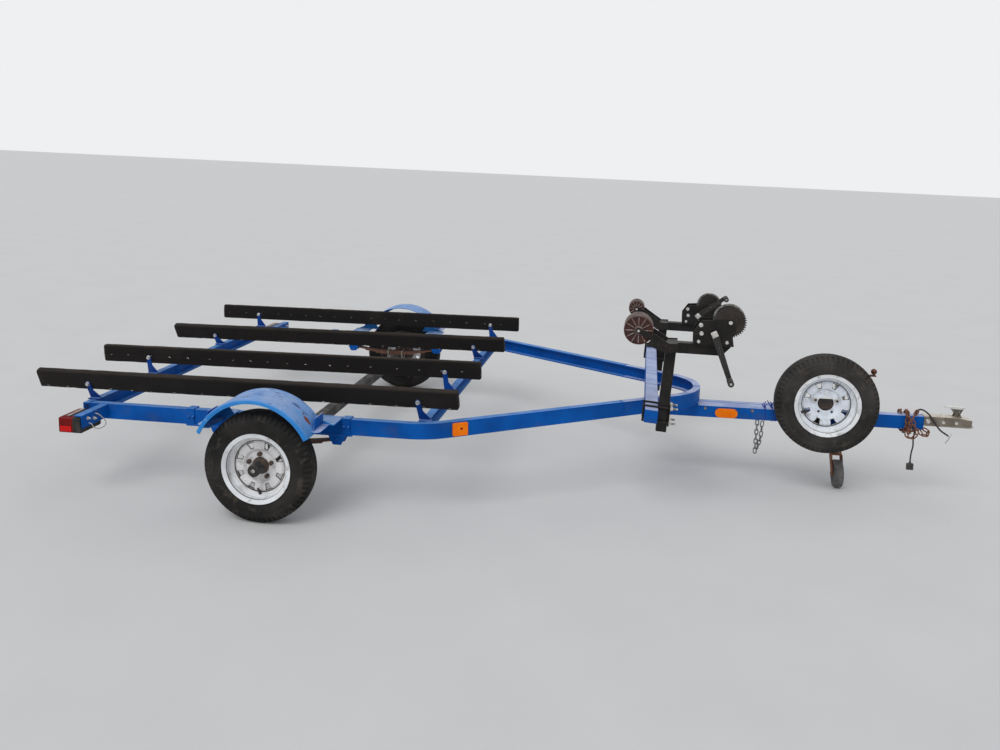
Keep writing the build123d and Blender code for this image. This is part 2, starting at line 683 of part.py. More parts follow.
# Latch: a flat bar over two cheeks that come down to a pin between the coupler's ears
LATCH_X = 3392.0
LATCH_Z = 368.0
LATCH_BAR = (3327.0, 3431.0)
LATCH_BAR_Z = (401.5, 406.5)
LATCH_BAR_HALF = 11.0
LATCH_PIN_R = 5.0
# the latch's cheeks stand inside the coupler's ears
LATCH_IN = 6.5
EAR_IN = 13.0
EAR_W = 40.0
CHEEK_T = 4.0


def coupler_ears():
    foot, head = EAR_W / 2, EAR_W / 2 - 11
    ears = None
    for side in (-1, 1):
        ear = plate_xz([(LATCH_X - foot, coupler_top - 1), (LATCH_X + foot, coupler_top - 1),
                        (LATCH_X + head, LATCH_Z + 8), (LATCH_X - head, LATCH_Z + 8)],
                       tuple(sorted((side * EAR_IN, side * (EAR_IN + CHEEK_T)))))
        ears = ear if ears is None else ears + ear
    return ears + rod_y(LATCH_PIN_R, LATCH_X, (-20, 20), LATCH_Z)


def coupler_latch():
    body = block(LATCH_BAR, (-LATCH_BAR_HALF, LATCH_BAR_HALF), LATCH_BAR_Z)
    body = fillet(body.edges().filter_by(Axis.Z), 5)
    under = LATCH_BAR_Z[0] + 1
    outline = [(LATCH_X - 8, LATCH_Z - 8), (LATCH_X + 8, LATCH_Z - 8), (LATCH_X + 31, under),
               (LATCH_X - 38, under)]
    for side in (-1, 1):
        cheek = plate_xz(outline, tuple(sorted((side * LATCH_IN, side * (LATCH_IN + CHEEK_T)))))
        body = body + cheek
    return body - rod_y(LATCH_PIN_R + 0.05, LATCH_X, (-20, 20), LATCH_Z)


keep("coupler", coupler() + coupler_ears())
keep("coupler_latch", coupler_latch())

# Winch stands
PLATE_T = 6.0
ARM_FALL = 1.2
# bow rollers: X, Z, radius, width
ROLLERS = {"right": (1707.0, 889.0, 69.5, 126.0), "left": (1681.0, 757.0, 48.0, 110.0)}
ROLLER_RIBS = 12
ROLLER_DISH = 9.0
ROLLER_PIN_R = 9.5
ROLLER_ROOM = 3.0
YOKE_GAP = 2.0
STRAP_EYE_R = 13.0
GEAR_X = 2130.0
GEAR_DZ = 162.0
SHAFT_X = 2057.0
SHAFT_DZ = 110.0
WINCH_HALF = 44.0
WINCH_REAR = 1965.0
WINCH_FRONT = 2150.0
WINCH_SHEET_T = 4.0
WINCH_SHAFT_R = 8.0
GEAR_TEETH = 40
PINION_TEETH = 10
GEAR_T = 8.0
GEAR_DISH_R = 43.0
FLANGE_R = 75.0
DRUM_R = 22.0
centre_distance = sqrt((GEAR_DZ - SHAFT_DZ) ** 2 + (GEAR_X - SHAFT_X) ** 2)
mesh_angle = degrees(atan2(GEAR_DZ - SHAFT_DZ, GEAR_X - SHAFT_X))
GEAR_MODULE = 2 * centre_distance / (GEAR_TEETH + PINION_TEETH)
post_x = BAR_X + BAR / 2 + 0.2


def post_front(z):
    """X of the leaning post's front face at height z."""
    return post_x + POST + (z - RAIL_TOP) * tan(radians(POST_LEAN))


def arm_fall(x, arm_low):
    """How far the arm has dropped at x, from where it leaves the post."""
    return (x - post_front(arm_low)) * tan(radians(ARM_FALL))


def stand(arm_low, foot_drop):
    """Post and arm of one stand, about its own Y = 0."""
    arm_top = arm_low + POST
    post = block((post_x, post_x + POST), (-POST / 2, POST / 2), (arm_low - foot_drop, arm_top))
    post = turned_forward(fillet(post.edges().filter_by(Axis.Z), 4))
    root = post_front(arm_low) - 6
    cut = ARM_FRONT - 40
    arm = plate_xz([(root, arm_low), (cut, arm_low - arm_fall(cut, arm_low)), (ARM_FRONT, arm_low + 38),
                    (ARM_FRONT, arm_top - arm_fall(ARM_FRONT, arm_low)), (root, arm_top - 1)],
                   (-POST / 2, POST / 2))
    return post + arm


def roller_yoke(name, arm_low):
    """Two plates from the post's head to the roller's edge, and a slim strap from each to the pin."""
    arm_top = arm_low + POST
    rx, rz, rr, rw = ROLLERS[name]
    half = rw / 2 + YOKE_GAP
    front = post_front(arm_top) + 4
    rear = post_front(arm_low) - POST
    yoke = None
    for near in (-1, 1):
        y = tuple(sorted((near * half, near * (half + PLATE_T))))
        plate = plate_xz([(rx + rr * 0.47, rz - rr * 0.9), (rear - 16, arm_low + 12),
                          (rear + 2, arm_low + 4), (front, arm_low + 14), (front, arm_top + 2),
                          (front - 44, arm_top + 2), (rx + rr, rz - rr * 0.115)], y)
        plate = plate - rod_y(rr + ROLLER_ROOM, rx, (-90, 90), rz)
        strap = plate_xz([(rx + 4, rz + 11), (rx - 4, rz - 11), (rx + rr + 8, rz - rr * 0.5 - 14),
                          (rx + rr + 16, rz - rr * 0.5 + 10)], y)
        cheek = plate + strap + rod_y(STRAP_EYE_R, rx, y, rz)
        yoke = cheek if yoke is None else yoke + cheek
    spacer = block((front - POST + 3, front - 3), (-half - 1, half + 1), (arm_low + 20, arm_top - 2))
    pin = rod_y(ROLLER_PIN_R, rx, (-half - PLATE_T - 5, half + PLATE_T + 5), rz)
    return yoke + spacer + pin


def bow_roller(name):
    """Rubber roller: a hub and a thick tread, joined by a web with ribs on both faces."""
    rx, rz, rr, rw = ROLLERS[name]
    h = rw / 2
    dish = ROLLER_DISH
    hub_r = rr * 0.34
    # radius and half width, from the bore out over the dished face to the tread
    half = [(ROLLER_PIN_R + 0.1, h), (hub_r, h), (hub_r + 2, h - dish), (rr - 8, h - dish), (rr - 6, h),
            (rr - 2, h - 1), (rr, h - 5)]
    body = spun_y(half + [(r, -y) for r, y in reversed(half)])
    for face in ((-h + 1, -h + dish + 1), (h - dish - 1, h - 1)):
        rib = block((hub_r - 3, rr - 5), face, (-1.6, 1.6))
        for k in range(ROLLER_RIBS):
            body = body + Rot(Y=k * 360 / ROLLER_RIBS) * rib
    return Pos(rx, 0, rz) * body


def winch_frame(arm_low):
    """Folded plate frame on the arm: floor and two cheeks, bored for the shafts."""
    arm_top = arm_low + POST
    gz, sz = arm_low + GEAR_DZ, arm_low + SHAFT_DZ
    rear, front = WINCH_REAR, WINCH_FRONT
    low_rear, low_front = (arm_top - arm_fall(x, arm_low) for x in (rear, front))
    body = plate_xz([(rear, low_rear - 0.5), (front, low_front - 0.5), (front, low_front + 4.5),
                     (rear, low_rear + 4.5)], (-WINCH_HALF, WINCH_HALF))
    # X and height over the arm's underside, round the front of the cheek
    outline = [(rear, 49.0), (front, 46.0), (2144.0, 88.0), (2157.0, 127.0), (2152.0, 158.0),
               (2142.0, 170.0), (2126.0, 173.0), (2001.0, 166.0), (rear, 116.0)]
    for near in (-1, 1):
        cheek = plate_xz([(x, arm_low + dz) for x, dz in outline],
                         tuple(sorted((near * WINCH_HALF, near * (WINCH_HALF - WINCH_SHEET_T)))))
        body = body + cheek
    bore = WINCH_SHAFT_R + 0.05
    return body - rod_y(bore, GEAR_X, (-80, 80), gz) - rod_y(bore, SHAFT_X, (-80, 80), sz)


def gear_face(teeth, module):
    """Spur gear outline with straight-flanked teeth, in X and Y about the origin."""
    pitch = teeth * module / 2
    root, tip = pitch - 1.15 * module, pitch + 0.9 * module
    step = 2 * pi / teeth
    # share of the pitch at root, pitch line and tip, radius
    flank = [(0.32, root), (0.235, pitch), (0.11, tip)]
    points = []
    for k in range(teeth):
        centre = k * step
        for share, r in flank:
            points.append((r * cos(centre - share * step), r * sin(centre - share * step)))
        for share, r in reversed(flank):
            points.append((r * cos(centre + share * step), r * sin(centre + share * step)))
    return make_face(Polyline(*points, close=True))


def winch_drum(arm_low):
    """Dished gear, drum and far flange on one shaft."""
    gz = arm_low + GEAR_DZ
    near = -WINCH_HALF + 5.0
    gear = extrude(gear_face(GEAR_TEETH, GEAR_MODULE), amount=GEAR_T)
    gear = Rot(Y=-mesh_angle - 180) * Rot(X=-90) * gear
    gear = Pos(GEAR_X, near, gz) * gear
    dish = rod_y(GEAR_DISH_R, GEAR_X, (near - 1, near + 3), gz)
    drum = rod_y(DRUM_R, GEAR_X, (near + GEAR_T - 1, WINCH_HALF - 8), gz)
    flange = rod_y(FLANGE_R, GEAR_X, (WINCH_HALF - 9, WINCH_HALF - 5), gz)
    shaft = rod_y(WINCH_SHAFT_R, GEAR_X, (-WINCH_HALF - 14, WINCH_HALF + 14), gz)
    return (gear - dish) + drum + flange + shaft


CRANK_T = 7.0
# the arm turns outside the roller's yoke and pin
CRANK_Y = -86.5
CRANK_HUB_R = 17.0
CRANK_END_R = 12.0
GRIP_L = 86.0
GRIP_R = 14.0
# from the shaft to the grip, the arm's direction from +X in degrees
CRANKS = {"right": (226.0, -70.3), "left": (200.0, 37.0)}


def winch_crank(arm_low, reach, angle):
    """Pinion shaft with its flat tapered crank and round grip."""
    sz = arm_low + SHAFT_DZ
    near = -WINCH_HALF + 4.5
    pinion = extrude(gear_face(PINION_TEETH, GEAR_MODULE), amount=GEAR_T + 1)
    pinion = Rot(X=-90) * pinion
    pinion = Pos(SHAFT_X, near, sz) * (Rot(Y=-mesh_angle - 180 / PINION_TEETH) * pinion)
    shaft = rod_y(WINCH_SHAFT_R, SHAFT_X, (CRANK_Y - CRANK_T / 2 - 9, WINCH_HALF + 12), sz)
    thick = (-CRANK_T / 2, CRANK_T / 2)
    arm = plate_xz([(0, -CRANK_HUB_R), (reach, -CRANK_END_R), (reach, CRANK_END_R), (0, CRANK_HUB_R)],
                   thick)
    arm = arm + rod_y(CRANK_HUB_R, 0, thick, 0) + rod_y(CRANK_END_R, reach, thick, 0)
    grip = rod_y(6, reach, (-GRIP_L, 0), 0) + rod_y(GRIP_R, reach, (-GRIP_L, -8), 0)
    lever = Pos(SHAFT_X, CRANK_Y, sz) * (Rot(Y=-angle) * (arm + grip))
    return pinion + shaft + lever


for name, side, arm_low, foot_drop in STANDS:
    at = Pos(0, side * STAND_Y, 0)
    frame = stand(arm_low, foot_drop) + roller_yoke(name, arm_low) + winch_frame(arm_low)
    keep("stand_" + name, at * frame)
    keep("bow_roller_" + name, at * bow_roller(name))
    keep("winch_drum_" + name, at * winch_drum(arm_low))
    keep("winch_crank_" + name, at * winch_crank(arm_low, *CRANKS[name]))

# Stand clamps: two U-bolts round the bar and a plate on the post's front
U_R = 5.0


def stand_clamp():
    front = post_x + POST
    back_x = BAR_X - BAR / 2 - U_R - 0.2
    low, high = bar_z[0] - U_R - 0.2, bar_z[1] + U_R + 0.2
    clamp = block((front + 0.1, front + 6), (-48, 48), (low - 14, high + 14))
    for y in (-36.0, 36.0):
        legs = rod_x(U_R, (back_x, front + 34), y, high) + rod_x(U_R, (back_x, front + 34), y, low)
        bow = rod_z(U_R, back_x, y, (low - U_R, high + U_R))
        clamp = clamp + legs + bow
        for z in (low, high):
            nut = extrude(RegularPolygon(8.5, 6, major_radius=False), amount=9)
            clamp = clamp + Pos(front + 6, y, z) * Rot(Y=90) * nut
    return turned_forward(clamp)


clamp = stand_clamp()
keep("stand_clamps", *[Pos(0, side * STAND_Y, 0) * clamp for _, side, _, _ in STANDS])

# Spare on its carrier at the tongue's right side
place = Pos(SPARE_X, SPARE_Y, SPARE_Z) * Rot(Z=180)
keep("spare_tyre", place * tyre_shape)
keep("spare_rim", place * rim_shape)
# which of the disc's five holes, counted from the top, the carrier's studs go through
CARRIER_STUDS = (1, 4)


def spare_carrier():
    """Bracket on the tongue with a plate behind the wheel's disc and two studs through it."""
    disc_back = SPARE_Y + DISC_T + 0.2
    tongue_side = -TONGUE_W / 2
    arm_top = SPARE_Z - 20
    plate = block((SPARE_X - 70, SPARE_X + 70), (disc_back, disc_back + 5), (SPARE_Z - 34, SPARE_Z + 22))
    arm = block((SPARE_X - 25, SPARE_X + 25), (disc_back + 4, tongue_side - 6), (arm_top - 40, arm_top))
    foot = block((SPARE_X - 50, SPARE_X + 50), (tongue_side - 8, tongue_side - 0.2),
                 (tongue_low + 4, arm_top))
    body = plate + arm + foot
    for k in CARRIER_STUDS:
        x = SPARE_X + STUD_PCD / 2 * sin(radians(k * 72))
        z = SPARE_Z + STUD_PCD / 2 * cos(radians(k * 72))
        body = body + rod_y(STUD_R, x, (SPARE_Y - 16, disc_back + 1), z)
    return body


keep("spare_carrier", spare_carrier())

# Jack: bracket on the tongue's left side, outer tube, leg, caster
JACK_TUBE_R = 28.5
JACK_LEG_R = 24.0
caster_near = JACK_X - CASTER_W / 2 + 6
ground_at_jack = TYRE_R - TYRE_R / cos(radians(NOSE_UP)) - caster_near * tan(radians(NOSE_UP))
caster_z = ground_at_jack + CASTER_R
FORK_TOP = caster_z + CASTER_R + 22.0
# how far the leg can be drawn up from where it stands
JACK_RAISE = 150.0
JACK_LOW = FORK_TOP + JACK_RAISE + 12.0
JACK_TOP = 500.0
JACK_CRANK_L = 170.0
JACK_KNOB_R = 16.0


def jack_tube():
    """Outer tube with its bracket, top cap and the crank on top."""
    tube = rod_z(JACK_TUBE_R, JACK_X, JACK_Y, (JACK_LOW, JACK_TOP)) - rod_z(
        JACK_LEG_R + 0.5, JACK_X, JACK_Y, (JACK_LOW - 1, JACK_TOP - 6))
    cap = rod_z(22, JACK_X, JACK_Y, (JACK_TOP - 2, JACK_TOP + 14))
    bracket = block((JACK_X - 55, JACK_X + 55), (TONGUE_W / 2 + 0.2, TONGUE_W / 2 + 8),
                    (tongue_low + 2, TONGUE_TOP + 40))
    collar = block((JACK_X - 20, JACK_X + 20), (TONGUE_W / 2 + 7, JACK_Y - JACK_LEG_R - 2),
                   (TONGUE_TOP - 50, TONGUE_TOP + 10))
    spindle = rod_z(8, JACK_X, JACK_Y, (JACK_TOP, JACK_TOP + 40))
    crank = block((JACK_X - 12, JACK_X + JACK_CRANK_L + 12), (JACK_Y - 11, JACK_Y + 11),
                  (JACK_TOP + 30, JACK_TOP + 37))
    knob = rod_z(6, JACK_X + JACK_CRANK_L, JACK_Y, (JACK_TOP + 34, JACK_TOP + 44))
    knob = knob + Pos(JACK_X + JACK_CRANK_L, JACK_Y, JACK_TOP + 56) * Sphere(JACK_KNOB_R)
    return tube + cap + bracket + collar + spindle + crank + knob


def jack_leg():
    return rod_z(JACK_LEG_R, JACK_X, JACK_Y, (FORK_TOP + 6, JACK_TOP - 10 - JACK_RAISE))


def jack_fork():
    """Caster fork: head plate and two legs down to the axle, trailing to the right."""
    head = rod_z(30, JACK_X, JACK_Y, (FORK_TOP - 4, FORK_TOP + 5.5))
    axle_y = JACK_Y - CASTER_TRAIL
    body = head
    for near in (-1, 1):
        x = JACK_X + near * (CASTER_W / 2 + 5)
        leg = make_face(Polyline((x, JACK_Y + 26, FORK_TOP - 4), (x, JACK_Y + 26, FORK_TOP - 22),
                                 (x, axle_y + 18, caster_z - 12), (x, axle_y - 14, caster_z - 12),
                                 (x, axle_y - 14, caster_z + 14), (x, JACK_Y - 32, FORK_TOP), close=True))
        leg = extrude(leg, amount=2.5, dir=(1, 0, 0), both=True)
        body = body + leg
    bridge_half = CASTER_W / 2 + 7
    bridge = block((JACK_X - bridge_half, JACK_X + bridge_half), (JACK_Y - 32, JACK_Y + 26),
                   (FORK_TOP - 5, FORK_TOP))
    pin_half = CASTER_W / 2 + 14
    pin = rod_x(CASTER_PIN_R, (JACK_X - pin_half, JACK_X + pin_half), axle_y, caster_z)
    return body + bridge + pin


def jack_wheel():
    """Hard wheel with a dished web between its hub and its tread."""
    h = CASTER_W / 2
    half = [(CASTER_PIN_R + 0.06, h), (24, h), (28, h - CASTER_DISH), (46, h - CASTER_DISH), (52, h),
            (CASTER_R - 6, h), (CASTER_R, h - 6)]
    wheel = spun_y(half + [(r, -y) for r, y in reversed(half)])
    return Pos(JACK_X, JACK_Y - CASTER_TRAIL, caster_z) * Rot(Z=90) * wheel


keep("jack_tube", jack_tube())
keep("jack_leg", jack_leg())
keep("jack_fork", jack_fork())
keep("jack_wheel", jack_wheel())

# Chains of plain links, each turned a quarter from the last
LINK_L = 38.0
LINK_W = 22.0
LINK_WIRE = 6.0
link_pitch = LINK_L - 2 * LINK_WIRE + 0.4


def oblong(length, width, steps=5):
    """Outline of a link's edge: two straight sides and two ends of a few flats."""
    r = width / 2
    centre = length / 2 - r
    points = []
    for end in (1, -1):
        for k in range(steps + 1):
            turn = pi * k / steps - pi / 2
            points.append((end * (centre + r * cos(turn)), end * r * sin(turn)))
    return make_face(Polyline(*points, close=True))


def link():
    """One link, long axis on Z, flat in X and Z."""
    outline = oblong(LINK_L, LINK_W) - oblong(LINK_L - 2 * LINK_WIRE, LINK_W - 2 * LINK_WIRE)
    return Rot(X=90) * Rot(Z=90) * extrude(outline, amount=LINK_WIRE / 2, both=True)


def chain(points, first_roll=0.0):
    """Links along a run of points, one link between each two."""
    body = link()
    links = []
    for k, (a, b) in enumerate(zip(points, points[1:])):
        along = (b - a).normalized()
        side = Vector(1, 0, 0) if abs(along.X) < 0.8 else Vector(0, 1, 0)
        plane = Plane(origin=(a + b) / 2, x_dir=side - along * side.dot(along), z_dir=along)
        links.append(plane.location * (Rot(Z=first_roll + 90 * (k % 2)) * body))
    return links


# Galvanised chain hanging from a bolt under the tongue's right side channel
CHAIN_X = 2362.0
CHAIN_Y = -48.0
chain_top = TONGUE_TOP - SIDE_H - 1.0
hang_links = 7
hanging = [Vector(CHAIN_X - k * link_pitch * sin(radians(NOSE_UP)), CHAIN_Y,
                  chain_top - (LINK_L - link_pitch) / 2 - k * link_pitch) for k in range(hang_links + 1)]

# Safety chain wound round the tongue behind the coupler: a rounded oblong path, drifting forward
WRAP_X = 3108.0
WRAP_OUT = 17.0
WRAP_R = 26.0
WRAP_TURNS_LINKS = 24
WRAP_STEP = 25.2
WRAP_DRIFT = 2.3


def wrap_point(s):
    """Point at distance s along the oblong round the tongue, in Y and Z."""
    half_y, half_z = TONGUE_W / 2 + WRAP_OUT - WRAP_R, TONGUE_H / 2 + WRAP_OUT - WRAP_R
    corner = pi * WRAP_R / 2
    sides = [(2 * half_y, corner), (2 * half_z, corner), (2 * half_y, corner), (2 * half_z, corner)]
    corners = [(half_y, half_z), (half_y, -half_z), (-half_y, -half_z), (-half_y, half_z)]
    s = s % sum(a + b for a, b in sides)
    heading = 0.0
    for (straight, bend), (cy, cz) in zip(sides, corners):
        dy, dz = cos(heading), -sin(heading)
        if s < straight:
            return (cy - dy * (straight - s) + sin(heading) * WRAP_R,
                    cz - dz * (straight - s) + cos(heading) * WRAP_R)
        s -= straight
        if s < bend:
            turn = heading + s / WRAP_R
            return (cy + sin(turn) * WRAP_R, cz + cos(turn) * WRAP_R)
        s -= bend
        heading += pi / 2
    return (0.0, 0.0)


tongue_mid = TONGUE_TOP - TONGUE_H / 2
wound = []
for k in range(WRAP_TURNS_LINKS + 1):
    wy, wz = wrap_point(k * WRAP_STEP)
    wound.append(Vector(WRAP_X + k * WRAP_DRIFT, wy, tongue_mid + wz))
keep("hanging_chain", *chain(hanging))
keep("safety_chain", *chain(wound, 45.0))


# Cords: straight runs joined by arcs as large as the runs allow
def cord(name, points, radius):
    """Round tube along a route; prints its bend radii and compares its volume with its length."""
    route = [Vector(*p) for p in points]
    radii = []
    for a, b, c in zip(route, route[1:], route[2:]):
        turn = radians((b - a).get_angle(c - b))
        radii.append(0.45 * min((b - a).length, (c - b).length) / tan(turn / 2))
    path = FilletPolyline(*route, radius=radii)
    start = Plane(origin=route[0], z_dir=route[1] - route[0])
    tube = sweep(start * Circle(radius), path=path)
    share = tube.volume / (pi * radius * radius * path.length)
    print(name, "length", round(path.length, 1), "volume share", round(share, 4),
          "radii", [round(r) for r in radii])
    return tube


# Wiring lead: out of the tongue's underside, straight down to a flat four-way plug
LEAD_R = 4.0
LEAD = [(3184, -8, 273.7), (3184, -8, 246), (3179, -13, 214), (3180, -20, 182), (3172, -23, 148),
        (3170, -21, 116), (3170, -21, 92)]
keep("wiring_lead", cord("wiring_lead", LEAD, LEAD_R))
plug_x, plug_y, plug_z = LEAD[-1]
plug = block((plug_x - 17, plug_x + 17), (plug_y - 7, plug_y + 7), (plug_z - 42, plug_z - 8))
plug = plug + rod_z(6.5, plug_x, plug_y, (plug_z - 9, plug_z))
keep("wiring_plug", plug)

# Second lead: comes out over the tongue's end, across the coupler and down its right side, cut short
SPARE_LEAD_R = 4.5
SPARE_LEAD = [(3186, -4, 350.2), (3186, -4, 372), (3207, -15, 388), (3231, -34, 377), (3249, -42, 358),
              (3268, -43, 330), (3292, -43, 293), (3312, -44, 275), (3342, -45, 257)]
keep("spare_lead", cord("spare_lead", SPARE_LEAD, SPARE_LEAD_R))

# Pale wire that loops down from the right lamp's shelf and back up to it
LAMP_WIRE_R = 2.3
LAMP_WIRE = [(-903.8, -1108, 428), (-889, -1108, 428), (-887, -1070, 392), (-887, -1051, 369),
             (-888, -1056, 352), (-889, -1085, 348), (-889, -1118, 354), (-889, -1149, 370),
             (-889, -1162, 396), (-903.8, -1162, 396)]
keep("lamp_wire", cord("lamp_wire", LAMP_WIRE, LAMP_WIRE_R))

# The origin is on the ground, in the middle of the whole trailer's length
ends = [edge for solids in nodes.values() for solid in solids
        for edge in (solid.bounding_box().min.X, solid.bounding_box().max.X)]
middle = (min(ends) + max(ends)) / 2
print("middle of the length", round(middle, 3))
for name, solids in nodes.items():
    whole = Compound(children=[Pos(-middle, 0, 0) * solid for solid in solids])
    export_step(whole, "parts/" + name + ".step")
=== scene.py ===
import math
import random

import bmesh
import bpy
from mathutils import Matrix, Vector


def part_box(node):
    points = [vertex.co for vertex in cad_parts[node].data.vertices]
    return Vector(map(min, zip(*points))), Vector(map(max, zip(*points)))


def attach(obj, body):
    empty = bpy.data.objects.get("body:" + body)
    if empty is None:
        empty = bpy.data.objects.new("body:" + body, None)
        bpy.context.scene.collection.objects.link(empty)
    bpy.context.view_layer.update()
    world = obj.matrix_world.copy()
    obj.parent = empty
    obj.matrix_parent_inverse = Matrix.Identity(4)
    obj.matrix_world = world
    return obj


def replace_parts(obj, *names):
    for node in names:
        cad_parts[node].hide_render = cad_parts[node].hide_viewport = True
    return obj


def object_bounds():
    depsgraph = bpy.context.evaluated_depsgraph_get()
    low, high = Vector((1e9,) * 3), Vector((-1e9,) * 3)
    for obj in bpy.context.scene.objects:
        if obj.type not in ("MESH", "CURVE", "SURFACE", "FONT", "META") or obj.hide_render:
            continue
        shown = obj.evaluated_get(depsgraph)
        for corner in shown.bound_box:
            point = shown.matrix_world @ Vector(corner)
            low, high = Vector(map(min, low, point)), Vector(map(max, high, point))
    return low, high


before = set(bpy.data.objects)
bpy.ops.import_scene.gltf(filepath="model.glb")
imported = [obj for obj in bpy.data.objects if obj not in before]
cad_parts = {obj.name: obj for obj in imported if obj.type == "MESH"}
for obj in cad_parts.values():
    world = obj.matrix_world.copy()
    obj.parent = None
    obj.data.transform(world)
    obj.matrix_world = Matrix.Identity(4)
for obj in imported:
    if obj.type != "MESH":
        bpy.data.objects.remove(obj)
cad_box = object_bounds()


def shift(x, y, z):
    return Matrix.Translation((x, y, z))


def rotate(axis, degrees):
    return Matrix.Rotation(math.radians(degrees), 4, axis)


# How the trailer stands: its frame was drawn level, with X from the axle and Z from the ground, and
# it is tipped nose up about the axle, because the jack is wound a little high.
NOSE_UP = 1.8
wheel_low, wheel_high = (Vector(corner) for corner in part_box("tyre_right"))
axle = (wheel_low + wheel_high) / 2
STANCE = shift(axle.x, 0, axle.z) @ rotate("Y", -NOSE_UP) @ shift(0, 0, -axle.z)


def show(name, data):
    """Object of some data, linked to the scene."""
    shown = bpy.data.objects.new(name, data)
    bpy.context.collection.objects.link(shown)
    return shown


# Camera: a person's standing view from beside the tongue, a little above the winches. The picture
# was cropped off centre, so the lens looks out above the middle of the frame.
CAMERA_FROM_AXLE = (1.6893, -4.8311, 1.7599)
CAMERA_YAW, CAMERA_PITCH, CAMERA_ROLL = 9.45, 7.99, 2.49
FOCAL_PIXELS = 866.6
FRAME_WIDTH = 1000.0
FRAME_HEIGHT = 750.0
LENS_CENTRE_Y = 272.1
SENSOR_WIDTH = 36.0
lens_data = bpy.data.cameras.new("camera")
lens_data.sensor_width = SENSOR_WIDTH
lens_data.lens = FOCAL_PIXELS * SENSOR_WIDTH / FRAME_WIDTH
lens_data.shift_y = (LENS_CENTRE_Y - FRAME_HEIGHT / 2) / FRAME_WIDTH
lens_data.clip_end = 200.0
camera = show("camera", lens_data)
camera.matrix_world = (shift(axle.x, 0, 0) @ shift(*CAMERA_FROM_AXLE) @ rotate("Z", CAMERA_YAW)
                       @ rotate("X", 90 - CAMERA_PITCH) @ rotate("Z", CAMERA_ROLL))
bpy.context.scene.camera = camera
bpy.context.scene.view_settings.view_transform = "Standard"

# Finishes: a recipe is a function that builds its nodes in a material and gives the socket they end
# in. grain, tint, level and those further down make recipes, and finish puts them in a material.
SPECULAR = "Specular IOR Level"


def node_of(owner, kind):
    return next(n for n in owner.node_tree.nodes if n.type == kind)


def add_node(owner, kind, settings):
    node = owner.node_tree.nodes.new(kind)
    for key, value in settings.items():
        if key in node.inputs:
            node.inputs[key].default_value = value
        else:
            setattr(node, key, value)
    return node


def feed(owner, socket, source):
    """Give a socket a recipe, another socket, or a plain colour."""
    if isinstance(source, tuple):
        socket.default_value = (*source, 1.0)
    else:
        owner.node_tree.links.new(source(owner) if callable(source) else source, socket)


def spread(factor, low, high, below=0.0, above=1.0):
    """Number that goes from below to above as the factor goes from low to high."""
    def build(material):
        node = add_node(material, "ShaderNodeMapRange",
                        {"From Min": low, "From Max": high, "To Min": below, "To Max": above})
        feed(material, node.inputs["Value"], factor)
        return node.outputs["Result"]
    return build


def grain(scale, low=0.0, high=1.0, detail=4.0, stretch=(1, 1, 1)):
    """Noise that rides with the piece: 0 where it is under low, 1 where it is over high."""
    def build(material):
        mapping = add_node(material, "ShaderNodeMapping", {"Scale": stretch})
        noise = add_node(material, "ShaderNodeTexNoise", {"Scale": scale, "Detail": detail})
        feed(material, mapping.inputs["Vector"],
             add_node(material, "ShaderNodeTexCoord", {}).outputs["Object"])
        feed(material, noise.inputs["Vector"], mapping.outputs["Vector"])
        return noise.outputs["Fac"]
    return spread(build, low, high)


def tint(factor, below, above):
    """Colour that goes from below to above with the factor. Each is a colour or another tint."""
    def build(material):
        mix = add_node(material, "ShaderNodeMix", {"data_type": "RGBA"})
        sockets = (mix.inputs["Factor"], mix.inputs[6], mix.inputs[7])
        for socket, source in zip(sockets, (factor, below, above)):
            feed(material, socket, source)
        return mix.outputs[2]
    return build


def level(factor, below, above):
    """Number that goes from below to above with the factor."""
    return spread(factor, 0.0, 1.0, below, above)


def finish(name, plain, colour, roughness=None, bumps=(), extra=None):
    """Material with one shader. plain is its colour, roughness and metallic in short, which the recipes
    for colour and roughness follow. A bump is a recipe of 0 to 1, its depth in metres and its strength."""
    material = bpy.data.materials.new(name)
    material.use_nodes = True
    shader = node_of(material, "BSDF_PRINCIPLED")
    flat, rough, metallic = plain
    settings = {"Base Color": (*flat, 1.0), "Roughness": rough, "Metallic": metallic, **(extra or {})}
    for key, value in settings.items():
        shader.inputs[key].default_value = value
    feed(material, shader.inputs["Base Color"], colour)
    if roughness:
        feed(material, shader.inputs["Roughness"], roughness)
    normal = None
    for height, depth, strength in bumps:
        bump = add_node(material, "ShaderNodeBump", {"Strength": strength, "Distance": depth})
        feed(material, bump.inputs["Height"], height)
        if normal:
            feed(material, bump.inputs["Normal"], normal)
        normal = bump.outputs["Normal"]
    if normal:
        feed(material, shader.inputs["Normal"], normal)
    return material


def dress(coat, *names):
    """Give CAD nodes their finish."""
    for name in names:
        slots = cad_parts[name].data.materials
        slots.clear()
        slots.append(coat)


# Yard and light: a pale sealed floor under an even sky, with one broad soft lamp high on the left
# behind the camera. Only the camera and reflections see the pale sky.
SKY_LIGHT = {"Color": (0.96, 0.98, 1.0, 1.0), "Strength": 0.62}
SKY_SEEN = {"Color": (0.86, 0.87, 0.88, 1.0), "Strength": 1.0}
SUN_STRENGTH = 1.15
SUN_WIDTH = math.radians(35)
SUN_TILT = (math.radians(38), math.radians(-14), 0)
FLOOR_HALF = 60.0
floor_data = bpy.data.meshes.new("floor")
floor_data.from_pydata([(x * FLOOR_HALF, y * FLOOR_HALF, 0) for x, y in ((-1, -1), (1, -1), (1, 1), (-1, 1))],
                       [], [(0, 1, 2, 3)])
floor = show("floor", floor_data)
floor.location.z = cad_box[0][2] - 0.0005
floor_data.materials.append(finish("pale_floor", ((0.62, 0.62, 0.62), 0.85, 0.0),
                                   tint(grain(2.2), (0.60, 0.60, 0.605), (0.66, 0.66, 0.655))))

